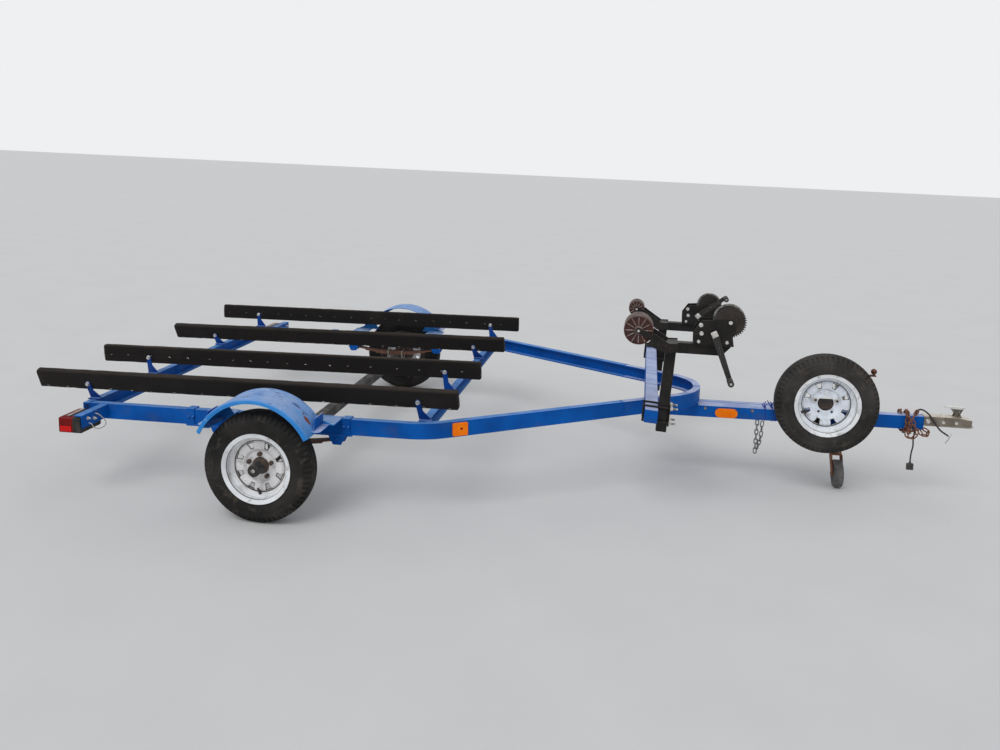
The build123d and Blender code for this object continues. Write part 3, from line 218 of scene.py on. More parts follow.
world = bpy.data.worlds.new("even_sky")
world.use_nodes = True
bpy.context.scene.world = world
rays = add_node(world, "ShaderNodeLightPath", {})
looked_at = rays.outputs["Is Camera Ray"]
for other in ("Is Glossy Ray", "Is Transmission Ray"):
    either = add_node(world, "ShaderNodeMath", {"operation": "MAXIMUM"})
    feed(world, either.inputs[0], looked_at)
    feed(world, either.inputs[1], rays.outputs[other])
    looked_at = either.outputs[0]
lit = node_of(world, "BACKGROUND")
for key, value in SKY_LIGHT.items():
    lit.inputs[key].default_value = value
choose = add_node(world, "ShaderNodeMixShader", {})
feed(world, choose.inputs["Fac"], looked_at)
feed(world, choose.inputs[1], lit.outputs[0])
feed(world, choose.inputs[2], add_node(world, "ShaderNodeBackground", SKY_SEEN).outputs[0])
feed(world, node_of(world, "OUTPUT_WORLD").inputs["Surface"], choose.outputs[0])

sun_data = bpy.data.lights.new("broad_lamp", "SUN")
sun_data.energy = SUN_STRENGTH
sun_data.angle = SUN_WIDTH
show("broad_lamp", sun_data).rotation_euler = SUN_TILT

# Tongue's wiring lead: four thin wires in a black sheath, out of a hole under the tube's front end.
# It hangs straight down with a little set from being coiled, and ends in a moulded flat plug.
LEAD_ROUTE = [(3.184, -0.008, 0.2737), (3.184, -0.008, 0.246), (3.179, -0.013, 0.214),
              (3.180, -0.020, 0.182), (3.172, -0.023, 0.148), (3.170, -0.021, 0.116), (3.170, -0.021, 0.092)]


def cord(name, route, coat, node, slot, width, **facts):
    """Smooth line through the trailer's space, as thick as the cord, that stands for its CAD node."""
    curve = bpy.data.curves.new(name, "CURVE")
    curve.dimensions = "3D"
    curve.bevel_depth = width / 2
    curve.bevel_resolution = 4
    curve.use_fill_caps = True
    curve.resolution_u = 12
    spline = curve.splines.new("NURBS")
    spline.points.add(len(route) - 1)
    for point, place in zip(spline.points, route):
        point.co = (*(STANCE @ Vector(place)), 1.0)
    spline.order_u = 3
    spline.use_endpoint_u = True
    curve.materials.append(coat)
    piece = show(name, curve)
    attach(piece, "trailer")
    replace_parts(piece, node)


def sheath(name, colour, dust):
    """Soft plastic sheath, dusty in places."""
    return finish(name, (colour, 0.55, 0.0), tint(grain(60, 0.35, 0.75), colour, dust),
                  level(grain(140), 0.45, 0.7), extra={SPECULAR: 0.4})


black_sheath = sheath("black_sheath", (0.016, 0.016, 0.017), (0.06, 0.055, 0.05))
dress(finish("moulded_plug", ((0.02, 0.02, 0.021), 0.5, 0.0),
             tint(grain(90, 0.4, 0.7), (0.018, 0.018, 0.018), (0.07, 0.06, 0.05))), "wiring_plug")
cord("lead", LEAD_ROUTE, black_sheath, "wiring_lead", "black_cord", 0.008, length=0.184, far_end="plug",
     stiffness="medium", with_pieces=[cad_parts["wiring_plug"]])

# Second lead: it comes out over the tube's end, crosses the coupler and hangs down its right side.
# Its plug was cut off, and the bare ends of its thin wires stick out of the sheath.
SECOND_ROUTE = [(3.186, -0.004, 0.3502), (3.186, -0.004, 0.372), (3.207, -0.015, 0.388),
                (3.231, -0.034, 0.377), (3.249, -0.042, 0.358), (3.268, -0.043, 0.330),
                (3.292, -0.043, 0.293), (3.312, -0.044, 0.275), (3.342, -0.045, 0.257)]
cord("second_lead", SECOND_ROUTE, black_sheath, "spare_lead", "black_cord", 0.009, length=0.2457,
     far_end="bare", stiffness="medium")

# Tail lamp's wire: a thin pale wire on the front of the right lamp's shelf. It hangs from one clip in
# a loop and goes back up to the next.
WIRE_ROUTE = [(-0.9038, -1.108, 0.428), (-0.889, -1.108, 0.428), (-0.887, -1.070, 0.392),
              (-0.887, -1.051, 0.369), (-0.888, -1.056, 0.352), (-0.889, -1.085, 0.348),
              (-0.889, -1.118, 0.354), (-0.889, -1.149, 0.370), (-0.889, -1.162, 0.396),
              (-0.9038, -1.162, 0.396)]
cord("tail_wire", WIRE_ROUTE, sheath("pale_sheath", (0.62, 0.60, 0.57), (0.40, 0.37, 0.33)), "lamp_wire",
     "pale_wire", 0.0046, length=0.2463, far_end="object", stiffness="limp")

# Hairpin frame: rails, nose and cross channels of rolled steel channel, mitred, welded and sprayed
# blue. Years outdoors have chalked the top faces and dulled the webs in patches; the tops' whitish lilac is
# part chalk and part painted highlight.
BLUE = (0.001, 0.106, 0.450)
BLUE_DEEP = (0.001, 0.062, 0.290)
# pale shades for the tops: chalk and painted highlight together
BLUE_CHALK_AND_HIGHLIGHT = (0.11, 0.27, 0.60)
LILAC_CHALK_AND_HIGHLIGHT = (0.44, 0.50, 0.71)
PAINT_SHINE = 0.10
ROAD_DIRT = (0.085, 0.075, 0.075)
RUST = (0.090, 0.028, 0.012)


def split_of(material, axis, vector):
    """One part of a vector, as a socket."""
    split = add_node(material, "ShaderNodeSeparateXYZ", {})
    feed(material, split.inputs["Vector"], vector)
    return split.outputs[axis]


def upward(low, high):
    """1 on faces that look up, 0 on the rest."""
    def build(material):
        return split_of(material, "Z", add_node(material, "ShaderNodeNewGeometry", {}).outputs["Normal"])
    return spread(build, low, high)


def both(first, second):
    """Product of two factors."""
    def build(material):
        product = add_node(material, "ShaderNodeMath", {"operation": "MULTIPLY"})
        feed(material, product.inputs[0], first)
        feed(material, product.inputs[1], second)
        return product.outputs[0]
    return build


def weathered_paint(name, fresh, deep, chalk_and_highlight, chalk_and_highlight_share=0.9):
    """Sprayed paint: two shades in soft patches, chalky and pale with painted highlight where it faces the
    sky, rust in small chips.
    """
    body = tint(grain(5, 0.35, 0.7), fresh, deep)
    # faces that look up go pale: partly chalked paint, partly painted highlight
    sky = both(upward(0.5, 0.85), grain(14, 0.05, 0.55, stretch=(0.4, 1, 1)))
    faded_and_highlit = tint(level(sky, 0.0, chalk_and_highlight_share), body, chalk_and_highlight)
    dirty = tint(level(grain(9, 0.55, 0.8), 0.0, 0.35), faded_and_highlit, ROAD_DIRT)
    return finish(name, (fresh, 0.42, 0.0), tint(grain(75, 0.70, 0.74, 6), dirty, RUST),
                  level(grain(30, 0.3, 0.7), 0.34, 0.62), [(grain(260), 0.0006, 0.35)],
                  {SPECULAR: PAINT_SHINE})


frame_paint = weathered_paint("frame_paint", BLUE, BLUE_DEEP, BLUE_CHALK_AND_HIGHLIGHT)
dress(frame_paint, "rail_left", "rail_right", "crossmember_front", "crossmember_rear", "tongue_brackets",
      "undercarriage")
# the nose, the tongue and the cross bar have had the most sun and hands, so their tops are palest; that pale
# is part chalk and part painted highlight
sunned_and_highlit_paint = weathered_paint("sunned_and_highlit_paint", BLUE, BLUE_DEEP, LILAC_CHALK_AND_HIGHLIGHT, 0.95)
dress(sunned_and_highlit_paint, "nose", "tongue_sides", "tongue_tube", "crossbar")

# Bunks: softwood boards on edge, wrapped in black ribbed marine carpet. It is one sheet a board, lapped
# and stapled along the right face or underneath, with both ends folded in like a parcel.
BOARD_H = 0.096
BOARD_T = 0.040
BOARD_CORNER = 0.012
BOARD_REAR = -1.333
BOARD_FRONT = 0.880
BOARD_RISE = 0.3
CARPET_LAP = 0.014
CARPET_STEP = 0.009
LAP_PROUD = 0.0022
STAPLE_STEP = 0.125
STAPLE_WIRE = 0.0016
# name, Y and Z of the middle over the axle, lean and toe in degrees, seam's height up the right face
BOARDS = [
    ("bunk_1", -0.9335, 0.552, -21.0, 0.0, -0.044),
    ("bunk_2", -0.380, 0.556, -4.7, 0.0, -0.010),
    ("bunk_3", 0.3825, 0.535, -27.0, 0.0, -0.044),
    ("bunk_4", 1.009, 0.546, 3.6, -2.0, -0.010),
]


def set_mesh(name, mesh, coat, body="trailer", sharp=35):
    """Mesh drawn on the level trailer, brought to its stance and set on a body."""
    mesh.transform(STANCE)
    mesh.shade_smooth()
    mesh.set_sharp_from_angle(angle=math.radians(sharp))
    mesh.materials.append(coat)
    piece = show(name, mesh)
    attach(piece, body)
    return piece


def set_piece(name, built, coat, body="trailer", sharp=35):
    """The same for a bmesh, its faces turned outward."""
    bmesh.ops.recalc_face_normals(built, faces=built.faces)
    mesh = bpy.data.meshes.new(name)
    built.to_mesh(mesh)
    built.free()
    return set_mesh(name, mesh, coat, body, sharp)


def grid_mesh(name, rows, closed):
    """Mesh over rows of points. A closed one goes round both ways."""
    count = len(rows[0])
    faces = []
    for i in range(len(rows) if closed else len(rows) - 1):
        a, b = i * count, (i + 1) % len(rows) * count
        for j in range(count if closed else count - 1):
            nxt = (j + 1) % count
            faces.append((a + j, a + nxt, b + nxt, b + j))
    mesh = bpy.data.meshes.new(name)
    mesh.from_pydata([point for row in rows for point in row], [], faces)
    return mesh


def board_place(y, z, lean, toe):
    """Where a board stands: it climbs a little, leans about its middle and toes about the axle."""
    climb = shift(0, 0, z) @ rotate("Y", -BOARD_RISE) @ shift(0, 0, -z)
    lean_turn = shift(0, y, z) @ rotate("X", -lean) @ shift(0, -y, -z)
    toe_turn = shift(0, y, 0) @ rotate("Z", toe) @ shift(0, -y, 0)
    return toe_turn @ lean_turn, climb


def board_section(seam):
    """Points round the board's rounded edge from the seam on its right face, up and over, to the lap."""
    half_t, half_h, r = BOARD_T / 2, BOARD_H / 2, BOARD_CORNER
    ring = []
    for sy, sz, start in ((-1, 1, 180), (1, 1, 90), (1, -1, 0), (-1, -1, -90)):
        for k in range(5):
            turn = math.radians(start - k * 22.5)
            ring.append((sy * (half_t - r) + r * math.cos(turn), sz * (half_h - r) + r * math.sin(turn)))
    points = [(-half_t, seam)]
    for target in ring + [(-half_t, seam), (-half_t, seam + CARPET_LAP)]:
        last = points[-1]
        steps = max(1, round(math.dist(last, target) / CARPET_STEP))
        points += [(last[0] + (target[0] - last[0]) * k / steps, last[1] + (target[1] - last[1]) * k / steps)
                   for k in range(1, steps + 1)]
    return points


def carpet_rows(y, z, seam, dice):
    """Rows of points along the wrapped board, closing in over its two ends, with small ripples."""
    section = board_section(seam)
    # how far from the board's end a row is, and how much of the end it covers
    folds = [(0.0005, 1.0), (0.0005, 0.45), (0.002, 0.14), (0.008, 0.0)]
    fold = folds[-1][0]
    steps = 72
    span = BOARD_FRONT - BOARD_REAR - 2 * fold
    places = [(BOARD_REAR + x, inset) for x, inset in folds]
    places += [(BOARD_REAR + fold + span * k / steps, 0.0) for k in range(1, steps)]
    places += [(BOARD_FRONT - x, inset) for x, inset in reversed(folds)]
    wave = [dice.uniform(-1, 1) for _ in range(len(places) + 3)]
    rows = []
    for i, (x, inset) in enumerate(places):
        row = []
        for j, (u, w) in enumerate(section):
            out = LAP_PROUD * (1.0 if inset == 0 else 0.4) if j > len(section) - 4 else 0.0
            if inset < 0.2:
                out += 0.0007 * math.sin(j * 0.9 + wave[i]) + 0.0006 * wave[(i + j // 6) % len(wave)]
            grow = 1 + out / math.hypot(u, w)
            high = w * (1 - 0.30 * inset) if inset < 1 else w * 0.66
            row.append((x, y + u * (1 - inset) * grow, z + high * grow))
        rows.append(row)
    return rows


pile = tint(grain(900, 0.3, 0.7, 2), (0.006, 0.0055, 0.0055), (0.017, 0.0155, 0.015))
# tops that look up go paler brown: partly sun wear, partly a painted sheen
sun_wear_and_sheen_mask = both(upward(0.2, 0.9), grain(12, 0.2, 0.7, stretch=(0.3, 1, 1)))
pile_wear_and_sheen = tint(sun_wear_and_sheen_mask, pile, (0.038, 0.030, 0.025))
bunk_carpet = finish(
    "bunk_carpet", ((0.012, 0.011, 0.011), 0.95, 0.0),
    tint(level(grain(6, 0.55, 0.75), 0.0, 0.5), pile_wear_and_sheen, (0.028, 0.024, 0.021)),
    bumps=[(grain(420, 0.3, 0.7, 5), 0.0016, 0.7),
           (grain(150, 0.2, 0.8, 3, stretch=(0.05, 1, 1)), 0.0010, 0.6)],
    extra={SPECULAR: 0.15, "Sheen Weight": 0.12, "Sheen Roughness": 0.5,
           "Sheen Tint": (0.62, 0.50, 0.44, 1.0)})
staple_steel = finish("staple_steel", ((0.36, 0.35, 0.33), 0.35, 1.0),
                      tint(grain(40, 0.5, 0.7), (0.36, 0.35, 0.33), (0.16, 0.08, 0.05)))


def skin(built, rings, caps=True, loop=False):
    """Skin over rings of points, its two ends capped, open, or joined in a loop. Gives its vertices."""
    made = [[built.verts.new(point) for point in ring] for ring in rings]
    for low, high in zip(made, made[1:] + (made[:1] if loop else [])):
        for k in range(len(low)):
            nxt = (k + 1) % len(low)
            built.faces.new((low[k], low[nxt], high[nxt], high[k]))
    if caps:
        built.faces.new(made[0])
        built.faces.new(reversed(made[-1]))
    return made


def frame_along(a, b):
    """Ends of a run as vectors, and two directions square to it."""
    a, b = Vector(a), Vector(b)
    run = (b - a).normalized()
    aside = run.orthogonal().normalized()
    return a, b, aside, run.cross(aside).normalized()


def bar_between(built, a, b, width, height):
    """Thin four-sided bar from a to b."""
    a, b, aside, up = frame_along(a, b)
    corners = ((-1, -1), (1, -1), (1, 1), (-1, 1))
    skin(built, [[end + aside * sx * width / 2 + up * sy * height / 2 for sx, sy in corners]
                 for end in (a, b)])


dice = random.Random(11)
for name, y, z, lean, toe, seam in BOARDS:
    turn, climb = board_place(y, z, lean, toe)
    mesh = grid_mesh(name + "_carpet", carpet_rows(y, z, seam, dice), closed=False)
    mesh.transform(turn @ climb)
    carpet = set_mesh(name + "_carpet", mesh, bunk_carpet, sharp=60)
    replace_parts(carpet, "bunks")
    staples = bmesh.new()
    x = BOARD_REAR + 0.05
    while x < BOARD_FRONT - 0.04:
        face = y - BOARD_T / 2 - LAP_PROUD - 0.0006
        tilt = dice.uniform(-0.004, 0.004)
        low = z + seam + CARPET_LAP * 0.4 + dice.uniform(-0.002, 0.002)
        bar_between(staples, (x - 0.005, face, low - tilt), (x + 0.005, face, low + tilt), STAPLE_WIRE,
                    STAPLE_WIRE)
        x += STAPLE_STEP * dice.uniform(0.8, 1.2)
    for corner in (BOARD_REAR + 0.0009, BOARD_FRONT - 0.0009):
        for k in (-1, 1):
            low = z + k * 0.022 + dice.uniform(-0.003, 0.003)
            bar_between(staples, (corner, y - 0.011, low), (corner, y - 0.002, low + 0.002), STAPLE_WIRE,
                        STAPLE_WIRE)
    bmesh.ops.transform(staples, matrix=turn @ climb, verts=staples.verts)
    set_piece(name + "_staples", staples, staple_steel)

# Tyres: two trailer tyres on the axle and a spare, moulded in black rubber that has gone grey and
# dusty. Five ribs between zigzag grooves, notched shoulders, and fine raised rings on the sidewalls.
TRACK = 1.205
AXLE_Z = 0.265
SPARE_PLACE = (2.693, -0.146, 0.425)
RIGHT = rotate("Z", 180)
# what turns a piece drawn with its outside at +Y to the right or left side
OUTWARD = {-1: RIGHT, 1: Matrix.Identity(4)}
SIDES = (("right", -1), ("left", 1))
WHEEL_PLACE = {which: shift(0, side * TRACK, AXLE_Z) @ OUTWARD[side] for which, side in SIDES}
WHEEL_PLACE["spare"] = shift(*SPARE_PLACE) @ RIGHT
WHEEL_BODY = {"right": "wheel_right", "left": "wheel_left", "spare": "trailer"}
NOTCHES = 62
# radius and half width of the sidewall, from the bead up to where the notches begin
SIDEWALL = [(0.1523, 0.0410), (0.1546, 0.0465), (0.1620, 0.0500), (0.1670, 0.0525), (0.1700, 0.0535),
            (0.1712, 0.0525), (0.1800, 0.0560), (0.1940, 0.0584), (0.2010, 0.0594), (0.2018, 0.0603),
            (0.2030, 0.0603), (0.2038, 0.0599), (0.2160, 0.0610), (0.2255, 0.0597), (0.2265, 0.0600),
            (0.2275, 0.0600), (0.2285, 0.0590), (0.2330, 0.0577)]
# radius, half width and how deep the notches cut there, up over the shoulder
SHOULDER = [(0.2360, 0.0568, 0.0000), (0.2380, 0.0561, 0.0042), (0.2460, 0.0522, 0.0046),
            (0.2530, 0.0470, 0.0050), (0.2580, 0.0420, 0.0052), (0.2604, 0.0388, 0.0052),
            (0.2611, 0.0378, 0.0)]
# half width, groove depth and sideways sway of the crown's edges, from the shoulder to the middle
CROWN = [(0.0310, 0.0, 1), (0.0303, 0.0058, 1), (0.0267, 0.0058, 1), (0.0260, 0.0, 1), (0.0140, 0.0, -1),
         (0.0133, 0.0060, -1), (0.0093, 0.0060, -1), (0.0086, 0.0, -1)]
CROWN_R = 0.2648
CROWN_FALL = 0.0030
SWAY = 0.0017
# where along each notch's pitch the rows lie, whether the notch is cut there, and the grooves' sway
PITCH_ROWS = [(0.00, 0, -1.0), (0.28, 0, 0.1), (0.33, 1, 0.3), (0.67, 1, 0.9), (0.72, 0, 0.7)]


def tyre_rows():
    """Rows of points round the section of a tyre about the Y axis, street side at +Y."""
    half = [(r, w, 0.0, 0.0, 0) for r, w in SIDEWALL]
    half += [(r, w, cut, 0.0, 0) for r, w, cut in SHOULDER]
    half += [(CROWN_R - CROWN_FALL * (w / CROWN[0][0]) ** 2, w, 0.0, deep, sway) for w, deep, sway in CROWN]
    section = half + [(r, -w, cut, deep, sway) for r, w, cut, deep, sway in reversed(half)]
    rows = []
    for k in range(NOTCHES):
        for share, cut_here, sway_here in PITCH_ROWS:
            angle = 2 * math.pi * (k + share) / NOTCHES
            row = []
            for r, w, cut, deep, sway in section:
                notch = cut if cut_here else 0.0
                radius = r - (deep + notch) * (0.75 if cut else 1.0)
                across = w + sway * sway_here * SWAY - math.copysign(notch * 0.55, w)
                row.append((radius * math.sin(angle), across, radius * math.cos(angle)))
            rows.append(row)
    return rows


def tyre_rubber(name, fresh, grey):
    """Black rubber that goes grey in soft patches and holds brown dust."""
    rubber = tint(grain(7, 0.35, 0.7, 5), fresh, grey)
    return finish(name, (fresh, 0.82, 0.0),
                  tint(level(grain(22, 0.55, 0.8), 0.0, 0.6), rubber, (0.105, 0.085, 0.066)),
                  level(grain(60), 0.68, 0.92), [(grain(500, 0.2, 0.8, 3), 0.0005, 0.5)], {SPECULAR: 0.22})


# the axle tyres get a darker copy of the rubber as painted shade; the spare's greyed rubber is the plain one
shade_darkened_rubber = tyre_rubber("shade_darkened_rubber", (0.009, 0.0085, 0.008), (0.032, 0.029, 0.027))
greyed_rubber = tyre_rubber("greyed_rubber", (0.020, 0.0185, 0.0175), (0.054, 0.049, 0.045))
for which, node, rubber in (("right", "tyre_right", shade_darkened_rubber), ("left", "tyre_left", shade_darkened_rubber),
                            ("spare", "spare_tyre", greyed_rubber)):
    built = bmesh.new()
    built.from_mesh(grid_mesh(node + "_shape", tyre_rows(), closed=True))
    bmesh.ops.transform(built, matrix=WHEEL_PLACE[which], verts=built.verts)
    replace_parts(set_piece(node + "_tread", built, rubber, WHEEL_BODY[which], 32), node)

# Rims: pressed steel, white enamel gone grey with dust; the dark rings in its corners and round the hand
# holes are painted shade with some grime.
# A valve stem leans out of each, and the two on the axle have a weight stuck inside the lip.
DISC_BACK = 0.0045
DISC_FRONT = 0.0145
DIRT_EDGE = 0.004


def along(axis, low, high):
    """0 where the piece, at rest, lies within low of the middle along an axis, 1 from high on."""
    def build(material):
        away = add_node(material, "ShaderNodeMath", {"operation": "ABSOLUTE"})
        coords = add_node(material, "ShaderNodeTexCoord", {}).outputs["Object"]
        feed(material, away.inputs[0], split_of(material, axis, coords))
        return away.outputs[0]
    return spread(build, low, high)


def rim_enamel(name, middle_y, disc):
    """White enamel, dustier on the disc; behind the disc it is brown with brake dust and old mud."""
    in_front = middle_y + DISC_FRONT
    shell = tint(along("Y", in_front, in_front + DIRT_EDGE),
                 tint(grain(24, 0.35, 0.7, 5), disc, tuple(0.78 * part for part in disc)),
                 tint(grain(9, 0.35, 0.7), (0.86, 0.88, 0.90), (0.64, 0.65, 0.68)))
    shell = tint(level(grain(28, 0.56, 0.75), 0.0, 0.55), shell, (0.17, 0.13, 0.10))
    shell = tint(grain(130, 0.68, 0.72, 6), shell, RUST)
    mud = tint(grain(30, 0.35, 0.7, 6), (0.020, 0.016, 0.014), (0.070, 0.052, 0.040))
    street = along("Y", middle_y - DISC_BACK - DIRT_EDGE, middle_y - DISC_BACK)
    return finish(name, ((0.58, 0.61, 0.68), 0.38, 0.0), tint(street, mud, shell),
                  level(grain(50, 0.3, 0.7), 0.34, 0.66), [(grain(300), 0.0003, 0.3)])


dress(rim_enamel("rim_enamel", TRACK, (0.80, 0.79, 0.80)), "rim_left", "rim_right")
dress(rim_enamel("spare_enamel", -SPARE_PLACE[1], (0.80, 0.85, 0.93)), "spare_rim")


def spin(built, profile, place, steps=40):
    """Solid of revolution about the place's Y axis: profile is (radius, Y), both ends on the axis or
    the last joined to the first."""
    rings = []
    for r, y in profile:
        turns = [2 * math.pi * k / steps for k in range(steps if r else 1)]
        rings.append([built.verts.new(place @ Vector((r * math.sin(a), y, r * math.cos(a)))) for a in turns])
    closed = profile[0][0] > 0.0 and profile[-1][0] > 0.0
    for low, high in zip(rings, rings[1:] + (rings[:1] if closed else [])):
        for k in range(steps):
            nxt = k + 1
            corners = dict.fromkeys((low[k % len(low)], low[nxt % len(low)], high[nxt % len(high)],
                                     high[k % len(high)]))
            if len(corners) > 2:
                built.faces.new(corners)


def block(built, place, size, edge, segments, profile=0.5):
    """Box of a size about a place, its edges taken off."""
    made = bmesh.ops.create_cube(built, size=1.0, matrix=place @ Matrix.Diagonal((*size, 1)))["verts"]
    bmesh.ops.bevel(built, geom=list({e for vert in made for e in vert.link_edges}), offset=edge,
                    segments=segments, profile=profile, affect="EDGES")


black_rubber = finish("black_rubber", ((0.016, 0.015, 0.015), 0.6, 0.0),
                      tint(grain(120, 0.45, 0.75), (0.014, 0.014, 0.014), (0.07, 0.06, 0.05)),
                      bumps=[(grain(600), 0.0002, 0.4)])
lead_grey = finish("lead_weight", ((0.10, 0.10, 0.105), 0.6, 0.7),
                   tint(grain(200, 0.4, 0.7), (0.06, 0.06, 0.065), (0.16, 0.15, 0.14)))
# dark finish for painted shade in the rims' corners and hole edges, with some grime
rim_shade_and_grime = finish("rim_shade_and_grime", ((0.055, 0.048, 0.046), 0.8, 0.0),
                   tint(grain(70, 0.35, 0.7), (0.040, 0.034, 0.032), (0.13, 0.115, 0.105)))
# wheel, valve's and weight's angle round the rim from its top, as seen from the street
TRIM = [("right", 180, 329), ("left", 70, 250), ("spare", 113, None)]
VALVE_BASE = (0, 0.014, 0.127)
VALVE_LEAN = -52
VALVE = [(0, -0.012), (0.0078, -0.012), (0.0078, 0.004), (0.0062, 0.007), (0.0056, 0.024), (0.0042, 0.026),
         (0.0042, 0.036), (0.0036, 0.038), (0, 0.038)]
# the hand holes' edges, half width and radius; their dark lining is painted shade, with dirt where the punch
# left them rough
WINDOWS = 8
WINDOW = [(-0.0080, 0.088), (0.0080, 0.088), (0.0170, 0.116), (-0.0170, 0.116)]
WINDOW_Y = 0.0092
WINDOW_EDGE = 0.0030
WINDOW_DEEP = 0.0052
# dark rings in the corner between disc and barrel, and along the step under the lip, painted shade with some
# grime: radius and Y
GRIME_AND_SHADE_RINGS = [[(0.1262, 0.0035), (0.1262, 0.0098), (0.1250, 0.0098), (0.1212, 0.0079), (0.1212, 0.0035)],
         [(0.1482, 0.0480), (0.1482, 0.0502), (0.1470, 0.0490), (0.1466, 0.0460), (0.1470, 0.0450)]]
WEIGHT_STEP = 1.9
WEIGHT_STEPS = 10
for which, valve_at, weight_at in TRIM:
    place, body = WHEEL_PLACE[which], WHEEL_BODY[which]
    built = bmesh.new()
    spin(built, VALVE, place @ rotate("Y", valve_at) @ shift(*VALVE_BASE) @ rotate("X", VALVE_LEAN), 16)
    set_piece("valve_" + which, built, black_rubber, body)
    built = bmesh.new()
    for corner in GRIME_AND_SHADE_RINGS:
        spin(built, corner, place, 64)
    for k in range(WINDOWS):
        at = place @ rotate("Y", (k + 0.5) * 360 / WINDOWS)
        for (x0, r0), (x1, r1) in zip(WINDOW, WINDOW[1:] + WINDOW[:1]):
            turn = Matrix.Rotation(-math.atan2(r1 - r0, x1 - x0), 4, "Y")
            block(built, at @ shift((x0 + x1) / 2, WINDOW_Y, (r0 + r1) / 2) @ turn,
                  (math.dist((x0, r0), (x1, r1)) + WINDOW_EDGE, WINDOW_DEEP, WINDOW_EDGE), 0.0006, 1)
    set_piece("rim_shade_and_grime_" + which, built, rim_shade_and_grime, body, 60)
    if weight_at is None:
        continue
    rings = []
    for k in range(WEIGHT_STEPS + 1):
        slim = 0.6 if k in (0, WEIGHT_STEPS) else 1.0
        turn = place @ rotate("Y", weight_at + (k - WEIGHT_STEPS // 2) * WEIGHT_STEP)
        section = [(0.1464, 0.0240), (0.1472, 0.0440), (0.1466 - 0.0042 * slim, 0.0430),
                   (0.1458 - 0.0048 * slim, 0.0250)]
        rings.append([turn @ Vector((0, y, r)) for r, y in section])
    built = bmesh.new()
    skin(built, rings)
    set_piece("rim_weight_" + which, built, lead_grey, body)

# Hubs: cast iron, brown with rust, five nuts on studs, and a long pressed dust cap painted black that
# has worn to bare metal on its rim.
DUST_CAP = [(0.0205, 0.0255), (0.0302, 0.0255), (0.0308, 0.0268), (0.0308, 0.0296), (0.0298, 0.0308),
            (0.0292, 0.0330), (0.0288, 0.0740), (0.0282, 0.0780), (0.0262, 0.0800), (0.0200, 0.0806),
            (0, 0.0808), (0, 0.0255)]
CAP_PLUG = [(0, 0.0804), (0.0088, 0.0804), (0.0088, 0.0818), (0.0062, 0.0828), (0, 0.0830)]


def cast_iron(name, plain, shades, grease, roughness, bump):
    """Rough cast or scaled iron in two browns, with dark greasy patches."""
    cast = tint(grain(60, 0.35, 0.7, 6), *shades)
    return finish(name, plain, tint(grain(180, 0.55, 0.75), cast, grease), level(grain(90), *roughness),
                  [(grain(350, 0.2, 0.8, 5), *bump)])


iron = cast_iron("rusty_iron", ((0.10, 0.045, 0.028), 0.8, 0.0),
                 ((0.085, 0.034, 0.020), (0.16, 0.075, 0.045)), (0.028, 0.020, 0.017), (0.65, 0.95),
                 (0.0009, 0.7))
hub_iron = cast_iron("hub_iron", ((0.075, 0.050, 0.038), 0.75, 0.0),
                     ((0.050, 0.032, 0.025), (0.115, 0.078, 0.058)), (0.022, 0.018, 0.016), (0.6, 0.9),
                     (0.0007, 0.6))
dress(hub_iron, "hub_left", "hub_right")
cap_paint = finish("cap_black", ((0.016, 0.015, 0.015), 0.4, 0.0),
                   tint(grain(70, 0.55, 0.75), (0.014, 0.013, 0.013), (0.12, 0.09, 0.07)),
                   level(grain(40), 0.3, 0.6))
bare_steel = finish("bare_steel", ((0.48, 0.47, 0.45), 0.36, 1.0),
                    tint(grain(45, 0.45, 0.75), (0.50, 0.49, 0.47), (0.26, 0.20, 0.15)),
                    level(grain(120), 0.28, 0.5))
for which, side in SIDES:
    place, body = WHEEL_PLACE[which], WHEEL_BODY[which]
    built = bmesh.new()
    spin(built, DUST_CAP, place, 48)
    set_piece("dust_cap_" + which, built, cap_paint, body, 25)
    built = bmesh.new()
    spin(built, CAP_PLUG, place, 20)
    set_piece("cap_plug_" + which, built, bare_steel, body)

# Fenders: rolled sheet with a turned-down lip, sprayed a lighter blue over thin primer. Hands and
# hulls have scuffed the top nearly white, and rust comes through near the front of each.
FENDER_Z = 0.306
FENDER_R = 0.300
FENDER_IN = 1.103
FENDER_OUT = 1.300
coat = tint(grain(6, 0.3, 0.7), (0.022, 0.19, 0.54), (0.045, 0.26, 0.66))
# faces that look up go paler: partly chalked paint, partly painted highlight
chalked_and_highlit = both(upward(0.35, 0.95), grain(11, 0.05, 0.6, 5))
coat = tint(level(chalked_and_highlit, 0.0, 0.92), coat, (0.28, 0.39, 0.63))
scuffs = both(upward(0.2, 0.8), grain(26, 0.60, 0.66, 8, (0.5, 2.5, 1)))
coat = tint(level(scuffs, 0.0, 0.85), coat, (0.045, 0.075, 0.20))
coat = tint(grain(42, 0.66, 0.70, 7), coat, (0.56, 0.58, 0.62))
fender_paint = finish("fender_paint", ((0.04, 0.24, 0.68), 0.5, 0.0),
                      tint(grain(30, 0.72, 0.75, 8), coat, RUST), level(grain(40), 0.40, 0.72),
                      [(grain(320), 0.0004, 0.35)], {SPECULAR: PAINT_SHINE})
dress(fender_paint, "fender_left", "fender_right")


def on_fender(forward, y, lift=0.0):
    """Point over a fender, at an angle in radians forward of its top."""
    r = FENDER_R + lift
    return Vector((r * math.sin(forward), y, FENDER_Z + r * math.cos(forward)))


rust_patch = finish("rust_patch", ((0.16, 0.045, 0.020), 0.9, 0.0),
                    tint(grain(110, 0.35, 0.7, 7), (0.26, 0.07, 0.03), (0.085, 0.03, 0.018)),
                    bumps=[(grain(300, 0.2, 0.8, 6), 0.0008, 0.8)])
